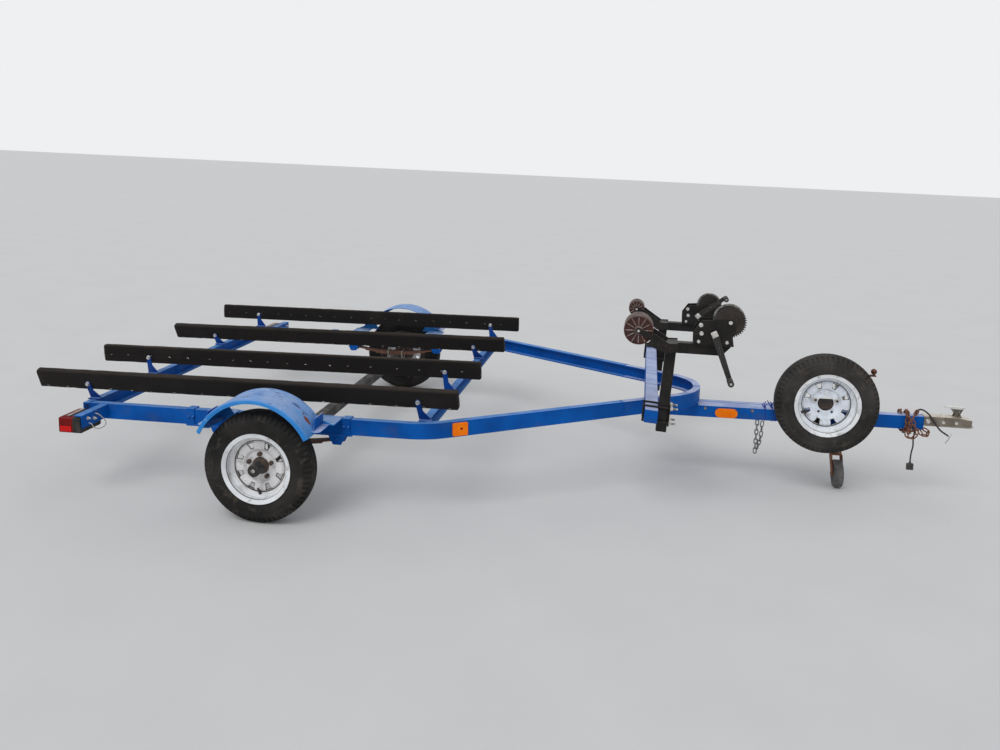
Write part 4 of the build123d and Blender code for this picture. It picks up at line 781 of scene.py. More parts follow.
# angle forward of the top, middle across the fender, length and width of each patch
PATCHES = {"right": [(50, 1.206, 0.052, 0.030), (44, 1.192, 0.020, 0.012), (38, 1.178, 0.012, 0.010)],
           "left": [(48, 1.215, 0.040, 0.022), (-52, 1.190, 0.030, 0.018)]}
PATCH_POINTS = 22
# how much of the patch a ring spans and how far it stands off the paint, from its edge inward
PATCH_RINGS = ((1.0, 0.00005), (0.86, 0.0004), (0.45, 0.0005))
dice = random.Random(23)
for which, side in SIDES:
    built = bmesh.new()
    for angle, across, long, wide in PATCHES[which]:
        edge = []
        for k in range(PATCH_POINTS):
            turn = 2 * math.pi * k / PATCH_POINTS
            ragged = dice.uniform(0.72, 1.12)
            edge.append((long / 2 / FENDER_R * ragged * math.cos(turn), wide / 2 * ragged * math.sin(turn)))
        rings = [[on_fender(math.radians(angle) + f * share, side * (across + y * share), lift)
                  for f, y in edge] for share, lift in PATCH_RINGS]
        built.faces.new(skin(built, rings, caps=False)[-1])
    set_piece("fender_rust_" + which, built, rust_patch)

# Hem: each fender's edges are rolled over a wire, which shows as a slim bead along the lip and ends.
HEM_END = 64
HEM_STEPS = 56
# across the trailer, how far inside the skin, and radius of the bead
HEMS = ((FENDER_OUT - 0.0026, 0.0205, 0.0024), (FENDER_IN + 0.002, 0.0014, 0.0022))
for which, side in SIDES:
    built = bmesh.new()
    for y, inside, bead in HEMS:
        rings = []
        for k in range(HEM_STEPS + 1):
            f = math.radians(HEM_END * (2 * k / HEM_STEPS - 1))
            rings.append([on_fender(f, side * (y + bead * math.sin(turn)), bead * math.cos(turn) - inside)
                          for turn in (2 * math.pi * j / 8 for j in range(8))])
        skin(built, rings)
    set_piece("fender_hem_" + which, built, fender_paint, sharp=60)

# Fender angles: a short angle iron is welded across each end of a fender, out from the arm. Its flat
# leg carries on the arm's top, and its other leg stands up in front of the fender's skin.
ANGLE_IRON = [(0.2625, 0.4462), (0.2990, 0.4462), (0.3000, 0.4472), (0.3000, 0.4500), (0.2680, 0.4505),
              (0.2668, 0.4517), (0.2668, 0.5030), (0.2658, 0.5040), (0.2633, 0.5040), (0.2625, 0.5030)]
# across the trailer, widest and highest point left there: the upright leg is cut off short of the tip
ANGLE_CUTS = [(1.098, 1.0, 1.0), (1.194, 1.0, 1.0), (1.207, 1.0, 0.472), (1.222, 1.0, 0.4535),
              (1.236, 0.286, 0.4525)]
for which, side in SIDES:
    built = bmesh.new()
    for end in (-1, 1):
        skin(built, [[(end * min(x, widest), side * y, min(z, highest)) for x, z in ANGLE_IRON]
                     for y, widest, highest in ANGLE_CUTS])
    set_piece("fender_angles_" + which, built, sunned_and_highlit_paint)

# Springs, axle and brackets: spring steel brown with rust, a black beam grey with road dust, and the
# bunks' brackets in a darker blue, each with a zinc bolt through the board.
dress(iron, "leaf_springs")
dress(finish("beam_paint", ((0.020, 0.019, 0.019), 0.6, 0.0),
             tint(grain(14, 0.4, 0.7, 5), (0.018, 0.017, 0.017), (0.095, 0.080, 0.068)),
             level(grain(50), 0.5, 0.85), [(grain(240), 0.0006, 0.5)]), "axle_beam")
dress(weathered_paint("bracket_paint", (0.004, 0.060, 0.300), (0.003, 0.035, 0.200), (0.16, 0.27, 0.55), 0.7),
      "bunk_brackets")
zinc = finish("zinc_bolt", ((0.62, 0.61, 0.58), 0.34, 1.0),
              tint(grain(160, 0.5, 0.75), (0.70, 0.69, 0.66), (0.36, 0.33, 0.29)),
              level(grain(220), 0.26, 0.5))
WASHER = 0.0018
# bolts and nuts: size over the flats, height, the washer's radius, and a thread end's length and radius
SMALL_BOLT = (0.013, 0.0065, 0.009)
BIG_BOLT = (0.0165, 0.0085, 0.0115)
SPRING_NUT = (0.016, 0.009, 0.011, 0.012, 0.005)


def hex_bolt(built, place, across, head, washer, thread=0.0, thread_r=0.005):
    """Hex head on a washer, looking along the place's +Y; a thread end may stand out of the nut."""
    if washer:
        spin(built, [(0, 0.0), (washer, 0.0), (washer, 0.0012), (washer - 0.0008, WASHER), (0, WASHER)],
             place, 24)
    flat = across / 2 / math.cos(math.pi / 6)
    hexagon = [(math.sin(math.radians(60 * k)), math.cos(math.radians(60 * k))) for k in range(6)]
    skin(built, [[place @ Vector((r * x, y, r * z)) for x, z in hexagon]
                 for r, y in ((flat, WASHER), (flat, head), (flat * 0.93, head + 0.0012))])
    if thread:
        profile = [(0, head)]
        steps = max(3, int(thread / 0.0016))
        for k in range(steps):
            y = head + thread * k / steps
            profile += [(thread_r, y + 0.0002), (thread_r - 0.0007, y + 0.0009)]
        spin(built, profile + [(thread_r - 0.001, head + thread), (0, head + thread)], place, 16)


BRACKET_BOLTS_X = (-1.050, 0.684)
built = bmesh.new()
for name, y, z, lean, toe, seam in BOARDS:
    for x in BRACKET_BOLTS_X:
        bolt_z = z + x * math.tan(math.radians(BOARD_RISE)) - 0.012
        hex_bolt(built, board_place(y, z, lean, toe)[0] @ shift(x, y - BOARD_T / 2 - 0.0053, bolt_z) @ RIGHT,
                 *BIG_BOLT)
set_piece("bunk_bolts", built, zinc)

# U-bolts and shackle bolts: square U-bolts tie the bunk brackets and the straps down to the channels,
# and bolts with plain nuts hold the springs. The springs' bolts are plated, dull and dirty; the straps' bolts
# take the frame's paint.
dull_zinc = finish("dull_zinc", ((0.34, 0.33, 0.31), 0.5, 0.9),
                   tint(grain(120, 0.35, 0.7), (0.38, 0.37, 0.35), (0.16, 0.12, 0.10)),
                   level(grain(90), 0.4, 0.7))
STRAPS_X = (-0.457, 0.345)
STRAP_FACE = 1.0081
STRAP_BOLT_Z = 0.4075
SPRING_BOLTS_X = (-0.0495, 0.0495)
SPRING_BOLTS_Y = (0.958, 1.010)
SPRING_PLATE_Z = 0.2325
SPRING_PIN_Z = 0.3235
# U-bolt's leg up from under the plate, and the pin through the spring's eye, as (radius, Y)
U_BOLT_LEG = [(0, 0.0), (0.005, 0.0), (0.005, 0.090), (0.0035, 0.095), (0, 0.095)]
EYE_PIN = [(0, 0.0), (0.0049, 0.0), (0.0049, 0.052), (0, 0.052)]
built = bmesh.new()
painted = bmesh.new()
for side in (-1, 1):
    for x in STRAPS_X:
        for dx in (-0.011, 0.011):
            hex_bolt(painted, shift(x + dx, side * STRAP_FACE, STRAP_BOLT_Z) @ OUTWARD[side], *SMALL_BOLT)
    for x in SPRING_BOLTS_X:
        for y in SPRING_BOLTS_Y:
            under = shift(x, side * y, SPRING_PLATE_Z)
            hex_bolt(built, under @ rotate("X", -90), *SPRING_NUT)
            spin(built, U_BOLT_LEG, under @ rotate("X", 90), 12)
        spin(built, EYE_PIN, shift(x, side * SPRING_BOLTS_Y[0], SPRING_PIN_Z) @ OUTWARD[side], 12)
set_piece("spring_bolts", built, dull_zinc)
set_piece("strap_bolts", painted, frame_paint)

# Tail lamps: a red moulded lens over the rear and the outer end of a black housing, with a ribbed
# reflector band in its lower half. A stud through the shelf's leg and a clip hold each one.
LAMP_REAR = -1.023
LAMP_FRONT = -0.9091
LAMP_IN = 1.062
LAMP_OUT = 1.222
LAMP_LOW = 0.360
LAMP_HIGH = 0.434
SHELF_LEG = 0.0051
LAMP_BOLTS = ((1.169, 0.422), (1.122, 0.408))
LAMP_NUT = (0.013, 0.0070, 0.009, 0.009, 0.0035)
BAND_MARGIN = 0.012
REAR_RIBS = 11
SIDE_RIBS = 4
# pale strips on the housing's top: low and high X from the rear, how far in from the inner and the
# outer end, how proud, and edge
STRIPS = ((0.0185, 0.0205, 0.004, 0.030, 0.0010, 0.0005), (0.0245, 0.0345, 0.006, 0.034, 0.0014, 0.0006))
lit_red = tint(grain(18, 0.35, 0.7), (0.21, 0.002, 0.003), (0.12, 0.002, 0.002))
lens_red = finish("lens_red", ((0.26, 0.002, 0.004), 0.2, 0.0),
                  tint(level(grain(40, 0.6, 0.8), 0.0, 0.5), lit_red, (0.16, 0.085, 0.075)),
                  level(grain(60), 0.12, 0.30), [(grain(90), 0.0003, 0.3)],
                  {SPECULAR: 0.15, "Coat Weight": 0.05, "Coat Roughness": 0.08})
dress(lens_red, "lamp_lenses")
dress(finish("housing_black", ((0.012, 0.012, 0.012), 0.5, 0.0),
             tint(grain(35, 0.4, 0.75), (0.010, 0.010, 0.010), (0.050, 0.046, 0.042)),
             level(grain(80), 0.4, 0.7), extra={SPECULAR: 0.25}), "tail_lamps")
bright_red = finish("reflector_red", ((0.72, 0.006, 0.006), 0.3, 0.0),
                    tint(grain(900, 0.4, 0.6, 1), (0.80, 0.008, 0.008), (0.50, 0.004, 0.004)),
                    extra={SPECULAR: 0.2})
pale_strip = finish("pale_strip", ((0.55, 0.42, 0.40), 0.45, 0.0),
                    tint(grain(60, 0.3, 0.7), (0.62, 0.50, 0.47), (0.36, 0.28, 0.25)))


def slab(built, x, y, z, edge=0.001, place=Matrix.Identity(4)):
    """Box between two values on each axis, its edges rounded off, brought to its place."""
    middle, size = zip(*(((a + b) / 2, abs(b - a)) for a, b in (x, y, z)))
    block(built, place @ shift(*middle), size, edge, 2, 0.7)


for which, side in SIDES:
    built = bmesh.new()
    for k in range(REAR_RIBS):
        y = side * (LAMP_IN + BAND_MARGIN + (LAMP_OUT - LAMP_IN - 2 * BAND_MARGIN) * (k + 0.5) / REAR_RIBS)
        slab(built, (LAMP_REAR - 0.0012, LAMP_REAR + 0.004), (y - 0.0058, y + 0.0058),
             (LAMP_LOW + 0.008, LAMP_LOW + 0.030), 0.0009)
    for k in range(SIDE_RIBS):
        x = LAMP_REAR + 0.010 + 0.0145 * k
        slab(built, (x, x + 0.0125), (side * (LAMP_OUT - 0.004), side * (LAMP_OUT + 0.0012)),
             (LAMP_LOW + 0.007, LAMP_LOW + 0.034), 0.0009)
    set_piece("reflector_band_" + which, built, bright_red)
    built = bmesh.new()
    for x0, x1, inner, outer, proud, edge in STRIPS:
        slab(built, (LAMP_REAR + x0, LAMP_REAR + x1), (side * (LAMP_IN + inner), side * (LAMP_OUT - outer)),
             (LAMP_HIGH - 0.003, LAMP_HIGH + proud), edge)
    set_piece("housing_strip_" + which, built, pale_strip)
    built = bmesh.new()
    for y, z in LAMP_BOLTS:
        hex_bolt(built, shift(LAMP_FRONT + SHELF_LEG, side * y, z) @ rotate("Z", -90), *LAMP_NUT)
    set_piece("lamp_bolts_" + which, built, zinc)

# Amber lamps: square side markers on the rails behind the bend and oblong reflectors on the tongue,
# each a moulded lens with fine prisms and a raised rim, glued or screwed to the steel.
RAIL_Y = 1.003
NOSE_R = 0.285
BEND = math.radians(33)
BEND_X = 1.765 + NOSE_R * math.sin(BEND) - (RAIL_Y - NOSE_R * math.cos(BEND)) / math.tan(BEND)
MARKER_X = 0.880
MARKER_Z = 0.408
MARKER_FACE = 0.0141
# low and high X and Z of the four sides of a marker's rim
MARKER_RIM = ((-0.0365, 0.0365, 0.0255, 0.0300), (-0.0365, 0.0365, -0.0300, -0.0255),
              (-0.0365, -0.0315, -0.0262, 0.0262), (0.0315, 0.0365, -0.0262, 0.0262))
MARKER_BULB = [(0, -0.001), (0.0062, -0.001), (0.0062, 0.0008), (0.0045, 0.0022), (0, 0.0028)]
REFLECTOR_X = 2.193
REFLECTOR_Y = 0.0254 + 0.038 + 0.0081
REFLECTOR_Z = 0.315
PRISM_STEP = 0.0058
# half heights of the prisms, from each rounded end to the straight middle
PRISMS = [0.0105, 0.0150] + 13 * [0.0185] + [0.0150, 0.0105]
glow = tint(grain(24, 0.3, 0.7), (1.0, 0.24, 0.001), (0.92, 0.18, 0.001))
amber = finish("amber_lens", ((0.95, 0.26, 0.012), 0.2, 0.0),
               tint(level(grain(55, 0.62, 0.8), 0.0, 0.5), glow, (0.48, 0.15, 0.05)),
               level(grain(70), 0.14, 0.34), [(grain(700, 0.3, 0.7, 1), 0.0004, 0.4)],
               {SPECULAR: 0.12, "Coat Weight": 0.05, "Coat Roughness": 0.1})
dress(amber, "amber_lamps")


def run_in(x):
    """How far out the rail is where it runs in to the nose."""
    return RAIL_Y - (x - BEND_X) * math.tan(BEND)


for which, side in SIDES:
    place = shift(MARKER_X, side * run_in(MARKER_X), MARKER_Z) @ Matrix.Rotation(-side * BEND, 4, "Z")
    built = bmesh.new()
    for x0, x1, z0, z1 in MARKER_RIM:
        slab(built, (x0, x1), (side * (MARKER_FACE - 0.006), side * (MARKER_FACE + 0.0016)), (z0, z1), 0.0008)
    bmesh.ops.transform(built, matrix=place, verts=built.verts)
    set_piece("marker_rim_" + which, built, amber)
    built = bmesh.new()
    spin(built, MARKER_BULB, place @ shift(0.004, side * MARKER_FACE, 0.004) @ OUTWARD[side], 24)
    set_piece("marker_bulb_" + which, built, lens_red)
    built = bmesh.new()
    for k, half in enumerate(PRISMS):
        x = REFLECTOR_X + PRISM_STEP * (k - len(PRISMS) // 2)
        slab(built, (x - 0.0022, x + 0.0022), (side * (REFLECTOR_Y - 0.002), side * (REFLECTOR_Y + 0.0009)),
             (REFLECTOR_Z - half, REFLECTOR_Z + half), 0.0006)
    set_piece("reflector_prisms_" + which, built, amber)

# Cross bar's and stands' hardware: U-bolts round the square bar, clamped through a plate on each
# post's front with flanged nuts. The bar and what is on it lean as the posts do.
POST_LEAN = 4.7
BAR_X = 1.776
BAR_SIZE = 0.0635
BAR_LOW = 0.4451
BAR_END = 0.762
STAND_Y = 0.673
SETTLE = 0.00035
POST_X = BAR_X + BAR_SIZE / 2 + 0.0002
POST_SIZE = 0.0508
EDGE = (BAR_X + BAR_SIZE / 2, 0, BAR_LOW)
TURNED = shift(0, 0, -SETTLE) @ shift(*EDGE) @ rotate("Y", POST_LEAN) @ shift(-EDGE[0], 0, -EDGE[2])
coat = tint(grain(12, 0.35, 0.7, 5), (0.010, 0.0095, 0.009), (0.022, 0.019, 0.017))
coat = tint(level(both(upward(0.3, 0.9), grain(20, 0.2, 0.7)), 0.0, 0.55), coat, (0.060, 0.053, 0.048))
black_steel = finish("black_steel", ((0.012, 0.011, 0.010), 0.42, 0.0),
                     tint(grain(60, 0.64, 0.70, 7), coat, (0.050, 0.028, 0.020)),
                     level(grain(45), 0.32, 0.66), [(grain(280), 0.0005, 0.4)], {SPECULAR: 0.18})
dress(black_steel, "stand_left", "stand_right", "stand_clamps")

# flanged nut in three: its flange, its hexagon and the thread that stands out of it, as (radius, Y)
NUT_FLANGE = [(0.0051, 0.0), (0.0125, 0.0), (0.0128, 0.0012), (0.0122, 0.0022), (0.0100, 0.0024),
              (0.0051, 0.0024)]
NUT_R = 0.0088 / math.cos(math.pi / 6)
NUT_HEX = [(NUT_R, 0.0022), (NUT_R, 0.0102), (NUT_R * 0.94, 0.0112), (0.0052, 0.0112), (0.0052, 0.0022)]
NUT_THREAD = [(0, 0.0105)]
for k in range(11):
    NUT_THREAD += [(0.0054, 0.0112 + 0.0021 * k), (0.0047, 0.0121 + 0.0021 * k)]
NUT_THREAD += [(0.0042, 0.0350), (0, 0.0352)]
for which, side in SIDES:
    built = bmesh.new()
    for y in (-0.036, 0.036):
        for z in (BAR_LOW - 0.0052, BAR_LOW + BAR_SIZE + 0.0052):
            at = shift(POST_X + POST_SIZE + 0.006, side * STAND_Y + y, z) @ rotate("Z", -90)
            for profile, steps in ((NUT_FLANGE, 24), (NUT_HEX, 6), (NUT_THREAD, 16)):
                spin(built, profile, at, steps)
    bmesh.ops.transform(built, matrix=TURNED, verts=built.verts)
    set_piece("clamp_nuts_" + which, built, zinc)

# Bar's end caps: pressed plates welded into the tube's ends, bead showing, sprayed with the bar.
built = bmesh.new()
for side in (-1, 1):
    slab(built, (BAR_X - 0.0285, BAR_X + 0.0285), (side * (BAR_END - 0.004), side * (BAR_END + 0.0016)),
         (BAR_LOW + 0.0032, BAR_LOW + BAR_SIZE - 0.0032), 0.0022)
bmesh.ops.transform(built, matrix=TURNED, verts=built.verts)
set_piece("bar_caps", built, frame_paint)

# Frame's welds: beads where the cross channels and the tail lamps' shelves meet the rails, where the
# run-ins meet the nose, and where the fenders' arms lie on the rails; all painted over.
RAIL_TOP = 0.4452
ON_RAIL = 0.4455
RAIL_LOW = 0.3690
NOSE_SPLIT = 1.640
ARM_X = FENDER_R * math.sin(math.radians(HEM_END)) - 0.026


def weld(built, a, b, size, dice):
    """Bead of overlapping ripples along a line."""
    a, b, aside, up = frame_along(a, b)
    steps = max(1, round((b - a).length / (size * 0.55)))
    rings = []
    for k in range(steps + 1):
        fat = size * (0.50 + 0.10 * (k % 2)) * dice.uniform(0.88, 1.1) * (0.45 if k in (0, steps) else 1.0)
        rings.append([a.lerp(b, k / steps) + aside * fat * math.cos(math.pi * j / 3)
                      + up * fat * math.sin(math.pi * j / 3) for j in range(6)])
    skin(built, rings)


dice = random.Random(31)
built = bmesh.new()
for side in (-1, 1):
    nose_y = run_in(NOSE_SPLIT)
    beads = [((-1.0062, RAIL_Y, ON_RAIL), (-1.0062, RAIL_Y, RAIL_LOW), 0.007),
             ((-1.0060, RAIL_Y - 0.003, ON_RAIL), (-1.0060, RAIL_Y - 0.038, ON_RAIL), 0.006),
             ((-0.905, RAIL_Y + 0.0008, RAIL_TOP), (-0.944, RAIL_Y + 0.0008, RAIL_TOP), 0.006),
             ((0.6898, RAIL_Y - 0.005, 0.4385), (0.6898, RAIL_Y - 0.005, 0.3755), 0.006),
             ((NOSE_SPLIT, nose_y + 0.0005, RAIL_TOP), (NOSE_SPLIT, nose_y + 0.0005, RAIL_LOW), 0.006),
             ((NOSE_SPLIT, nose_y, ON_RAIL), (NOSE_SPLIT - 0.0207, nose_y - 0.0319, ON_RAIL), 0.005)]
    for end in (-1, 1):
        x = end * ARM_X
        beads += [((x - 0.020, 1.0035, ON_RAIL), (x + 0.020, 1.0035, ON_RAIL), 0.006),
                  ((x + end * 0.0204, 0.968, 0.4462), (x + end * 0.0204, 0.998, 0.4462), 0.005)]
    beads.append(((BAR_X - 0.028, 0.0696, 0.3495), (BAR_X + 0.028, 0.0696, 0.3495), 0.005))
    for (x0, y0, z0), (x1, y1, z1), size in beads:
        weld(built, (x0, side * y0, z0), (x1, side * y1, z1), size, dice)
set_piece("frame_welds", built, frame_paint, sharp=60)

# Bow rollers: moulded rubber, a wide worn tread on a ribbed red-brown web, turning on a bright pin
# between the stand's yoke plates. The tread is dusty where hulls have rubbed it.
ROLLER_RIBS = 12
YOKE = 0.010
PIN_HEAD = (0.0125, 0.0044, 0.0082)
GROOVES = 7
# side, X and Z of the pin, radius and width, for the right roller and the left one
ROLLERS = [("right", -1, 1.707, 0.889, 0.0695, 0.126), ("left", 1, 1.681, 0.757, 0.048, 0.110)]
moulding = tint(grain(26, 0.35, 0.7, 4), (0.070, 0.014, 0.010), (0.034, 0.013, 0.010))
dress(finish("roller_rubber", ((0.045, 0.018, 0.013), 0.62, 0.0),
             tint(level(grain(70, 0.6, 0.8), 0.0, 0.5), moulding, (0.17, 0.11, 0.085)),
             bumps=[(grain(420), 0.0004, 0.4)]), "bow_roller_left", "bow_roller_right")
worn_tread = finish("worn_tread", ((0.17, 0.135, 0.11), 0.85, 0.0),
                    tint(grain(20, 0.3, 0.7, 5, (1, 0.4, 1)), (0.050, 0.034, 0.028), (0.20, 0.155, 0.13)),
                    bumps=[(grain(200, stretch=(1, 3, 1)), 0.0006, 0.5)])
# the ribs' pale colour is partly dust and partly painted highlight along them
rib_dust_and_highlight = finish("rib_dust_and_highlight", ((0.24, 0.19, 0.16), 0.8, 0.0),
                    tint(grain(60, 0.3, 0.7, 5), (0.10, 0.060, 0.048), (0.36, 0.30, 0.26)),
                    bumps=[(grain(300), 0.0003, 0.4)])
for which, side, x, z, r, width in ROLLERS:
    body = "roller_" + which
    place = shift(x, side * STAND_Y, z)
    faces = (place @ RIGHT, place)
    h = width / 2
    hub = r * 0.34
    step = (width - 0.012) / GROOVES
    profile = [(r - 0.0015, -h + 0.0045)]
    for k in range(GROOVES):
        y = -h + 0.006 + step * k
        profile += [(r + 0.0002, y), (r + 0.0007, y + step * 0.12), (r + 0.0007, y + step * 0.78),
                    (r + 0.0001, y + step * 0.9)]
    built = bmesh.new()
    spin(built, profile + [(r + 0.0002, h - 0.006), (r - 0.0015, h - 0.0045)], place, 56)
    set_piece("roller_tread_" + which, built, worn_tread, body, 50)
    bush, pin, ribs = bmesh.new(), bmesh.new(), bmesh.new()
    for face in faces:
        spin(bush, [(0.0098, h - 0.001), (hub - 0.0015, h - 0.001), (hub - 0.0015, h + 0.0008),
                    (hub - 0.003, h + 0.0014), (0.0112, h + 0.0014), (0.0098, h + 0.0008)], face, 32)
        hex_bolt(pin, face @ shift(0, h + YOKE, 0), *PIN_HEAD)
        for k in range(ROLLER_RIBS):
            slab(ribs, (hub + 0.0015, r - 0.0072), (h - 0.0028, h - 0.0003), (-0.0021, 0.0021), 0.0007,
                 face @ rotate("Y", 360 * k / ROLLER_RIBS))
    set_piece("roller_bush_" + which, bush, worn_tread, body, 40)
    set_piece("roller_pin_" + which, pin, zinc)
    set_piece("roller_ribs_" + which, ribs, rib_dust_and_highlight, body, 50)

# Winches: stamped steel frames, gears and drums, once plated and now black-brown with old grease;
# each is bolted down through its cheeks, and a square washer and nut hold the crank on its shaft.
GEAR_X = 2.130
GEAR_UP = 0.162
GEAR_FACE_Y = -0.0359
GEAR_BOLT_Y = 0.0545
SHAFT_X = 2.057
SHAFT_UP = 0.110
CRANK_Y = -0.0865
CRANK_FACE_Y = -0.0035
SQUARE_WASHER = 0.0030
CHEEK_BOLT = (0.0150, 0.0075, 0.0102)
FOOT_BOLT = (0.0125, 0.006, 0.008)
GEAR_BOLT = (0.0180, 0.0030, 0.0)
CRANK_NUT = (0.0170, 0.0100, 0.0118)
CHEEK_Y = 0.0441
# X and height over the arm of the bolts through the cheeks, and the same for those at the foot
CHEEK_BOLTS = ((1.996, 0.143), (2.000, 0.103))
FOOT_BOLTS = ((1.988, 0.064), (2.118, 0.064))
# side, Z of the arm's underside, the crank's reach and its angle over level at rest, in degrees
WINCHES = [("right", -1, 0.781, 0.226, -70.3), ("left", 1, 0.623, 0.200, 37.0)]
film = tint(grain(18, 0.3, 0.7, 5), (0.014, 0.012, 0.011), (0.034, 0.025, 0.020))
greasy = finish("greasy_steel", ((0.030, 0.024, 0.020), 0.48, 0.35),
                tint(grain(90, 0.62, 0.74, 6), film, (0.10, 0.058, 0.036)), level(grain(55), 0.32, 0.68),
                [(grain(300), 0.0004, 0.4)])
dress(greasy, "winch_drum_left", "winch_drum_right")
plated_edge = finish("plated_edge", ((0.42, 0.42, 0.41), 0.4, 0.9),
                     tint(grain(60, 0.35, 0.7, 5), (0.44, 0.44, 0.43), (0.13, 0.11, 0.095)),
                     bumps=[(grain(220), 0.0003, 0.4)])
crank_coat = finish("crank_coat", ((0.020, 0.019, 0.018), 0.4, 0.2),
                    tint(grain(80, 0.58, 0.72, 6), (0.020, 0.019, 0.018), (0.13, 0.11, 0.095)),
                    level(grain(50), 0.28, 0.55))
dress(crank_coat, "winch_crank_left", "winch_crank_right")

# profiles as (radius, Y): the gear's dished rim and hub, and the drum's flange, which shows bright
# steel round both its faces, where the strap has rubbed the black off
GEAR_RIM = [(0.0432, -0.0002), (0.0432, 0.0030), (0.0418, 0.0036), (0.0398, 0.0032), (0.0392, -0.0002)]
GEAR_HUB = [(0.0085, -0.0004), (0.0190, -0.0004), (0.0182, 0.0040), (0.0150, 0.0046), (0.0085, 0.0046)]
FLANGE_INNER = [(0.0650, 0.0346), (0.0652, 0.0353), (0.0748, 0.0353), (0.0747, 0.0347), (0.0740, 0.0345)]
FLANGE_OUTER = [(0.0650, 0.0392), (0.0652, 0.0387), (0.0748, 0.0387), (0.0747, 0.0392), (0.0740, 0.0394)]
# the crank's grip with rings turned in it, and the rivet through it
GRIP = [(0.0060, 0.0085), (0.0110, 0.0085), (0.0140, 0.0100), (0.0145, 0.0120)]
for k in range(7):
    y = 0.016 + k * 0.0094
    GRIP += [(0.0145, y), (0.0134, y + 0.0012), (0.0134, y + 0.0030), (0.0145, y + 0.0042)]
GRIP += [(0.0145, 0.0836), (0.0132, 0.0856), (0.0060, 0.0860)]
RIVET_END = [(0, 0.0858), (0.0058, 0.0858), (0.0058, 0.0864), (0.0040, 0.0872), (0, 0.0873)]
RIVET_COLLAR = [(0.0062, 0.0036), (0.0100, 0.0036), (0.0100, 0.0056), (0.0062, 0.0056)]
for which, side, arm, reach, angle in WINCHES:
    middle = side * STAND_Y
    gear = shift(GEAR_X, middle, arm + GEAR_UP)
    crank = shift(SHAFT_X, middle + CRANK_Y, arm + SHAFT_UP)
    drum_body, crank_body = "drum_" + which, "crank_" + which
    built = bmesh.new()
    for face in (-1, 1):
        for x, z in CHEEK_BOLTS:
            hex_bolt(built, shift(x, middle + face * CHEEK_Y, arm + z) @ OUTWARD[face], *CHEEK_BOLT)
    for x, z in FOOT_BOLTS:
        hex_bolt(built, shift(x, middle - CHEEK_Y, arm + z) @ RIGHT, *FOOT_BOLT)
    set_piece("winch_bolts_" + which, built, zinc)
    built = bmesh.new()
    for face in (-1, 1):
        hex_bolt(built, gear @ shift(0, face * GEAR_BOLT_Y, 0) @ OUTWARD[face], *GEAR_BOLT)
    set_piece("gear_bolt_" + which, built, zinc, drum_body)
    built = bmesh.new()
    dish = gear @ shift(0, GEAR_FACE_Y, 0) @ RIGHT
    spin(built, GEAR_RIM, dish, 48)
    spin(built, GEAR_HUB, dish, 32)
    for k in range(6):
        slab(built, (-0.0016, 0.0016), (-0.0004, 0.0022), (0.0180, 0.0400), 0.0006,
             dish @ rotate("Y", 60 * k + 14))
    set_piece("gear_face_" + which, built, greasy, drum_body)
    built = bmesh.new()
    spin(built, FLANGE_INNER, gear, 56)
    spin(built, FLANGE_OUTER, gear, 56)
    set_piece("drum_edge_" + which, built, plated_edge, drum_body)
    built = bmesh.new()
    end = crank @ shift(0, CRANK_FACE_Y, 0) @ RIGHT
    slab(built, (-0.0142, 0.0142), (0.0002, SQUARE_WASHER), (-0.0142, 0.0142), 0.0010,
         end @ rotate("Y", angle + 8))
    hex_bolt(built, end @ shift(0, SQUARE_WASHER, 0), *CRANK_NUT)
    set_piece("crank_nut_" + which, built, zinc, crank_body)
    # pressed edges along the crank's arm, which narrows from shaft to grip
    lever = crank @ rotate("Y", -angle)
    built = bmesh.new()
    slope = math.degrees(math.atan2(0.005, reach))
    for edge in (-1, 1):
        slab(built, (0.012, reach - 0.012), (-0.0052, 0.0036), (-0.0016, 0.0018), 0.0007,
             lever @ shift(0.004, 0, edge * 0.0150) @ rotate("Y", edge * slope))
    slab(built, (0.020, reach - 0.020), (-0.0042, 0.0), (-0.0030, 0.0030), 0.0009, lever)
    set_piece("crank_edge_" + which, built, crank_coat, crank_body)
    grip_place = lever @ shift(reach, 0, 0) @ RIGHT
    built = bmesh.new()
    spin(built, GRIP, grip_place, 32)
    set_piece("crank_grip_" + which, built, black_rubber, crank_body)
    built = bmesh.new()
    spin(built, RIVET_END, grip_place, 20)
    spin(built, RIVET_COLLAR, grip_place, 24)
    set_piece("grip_rivet_" + which, built, bare_steel, crank_body)

# Tongue's cable ties: blue nylon ties that once held the wiring to the tube's top, cut ends standing
# up like a tuft in front of the spare.
TUBE_TOP = 0.350
TUBE_LOW = TUBE_TOP - 0.0635
TIE_OFF = 0.0016
TIE_HALF = 0.0254 + 0.0385
TIE_HEAD_Y = -0.044
# X of each tie, and how far it is skewed
TIES = [(2.398, 0.020), (2.436, -0.006), (2.452, 0.012), (2.470, -0.002), (2.493, 0.016)]
tie_nylon = finish("tie_nylon", ((0.012, 0.035, 0.30), 0.35, 0.0),
                   tint(grain(70), (0.010, 0.028, 0.24), (0.03, 0.08, 0.46)))


def bars_through(built, points, width, height):
    for a, b in zip(points, points[1:]):
        bar_between(built, a, b, width, height)


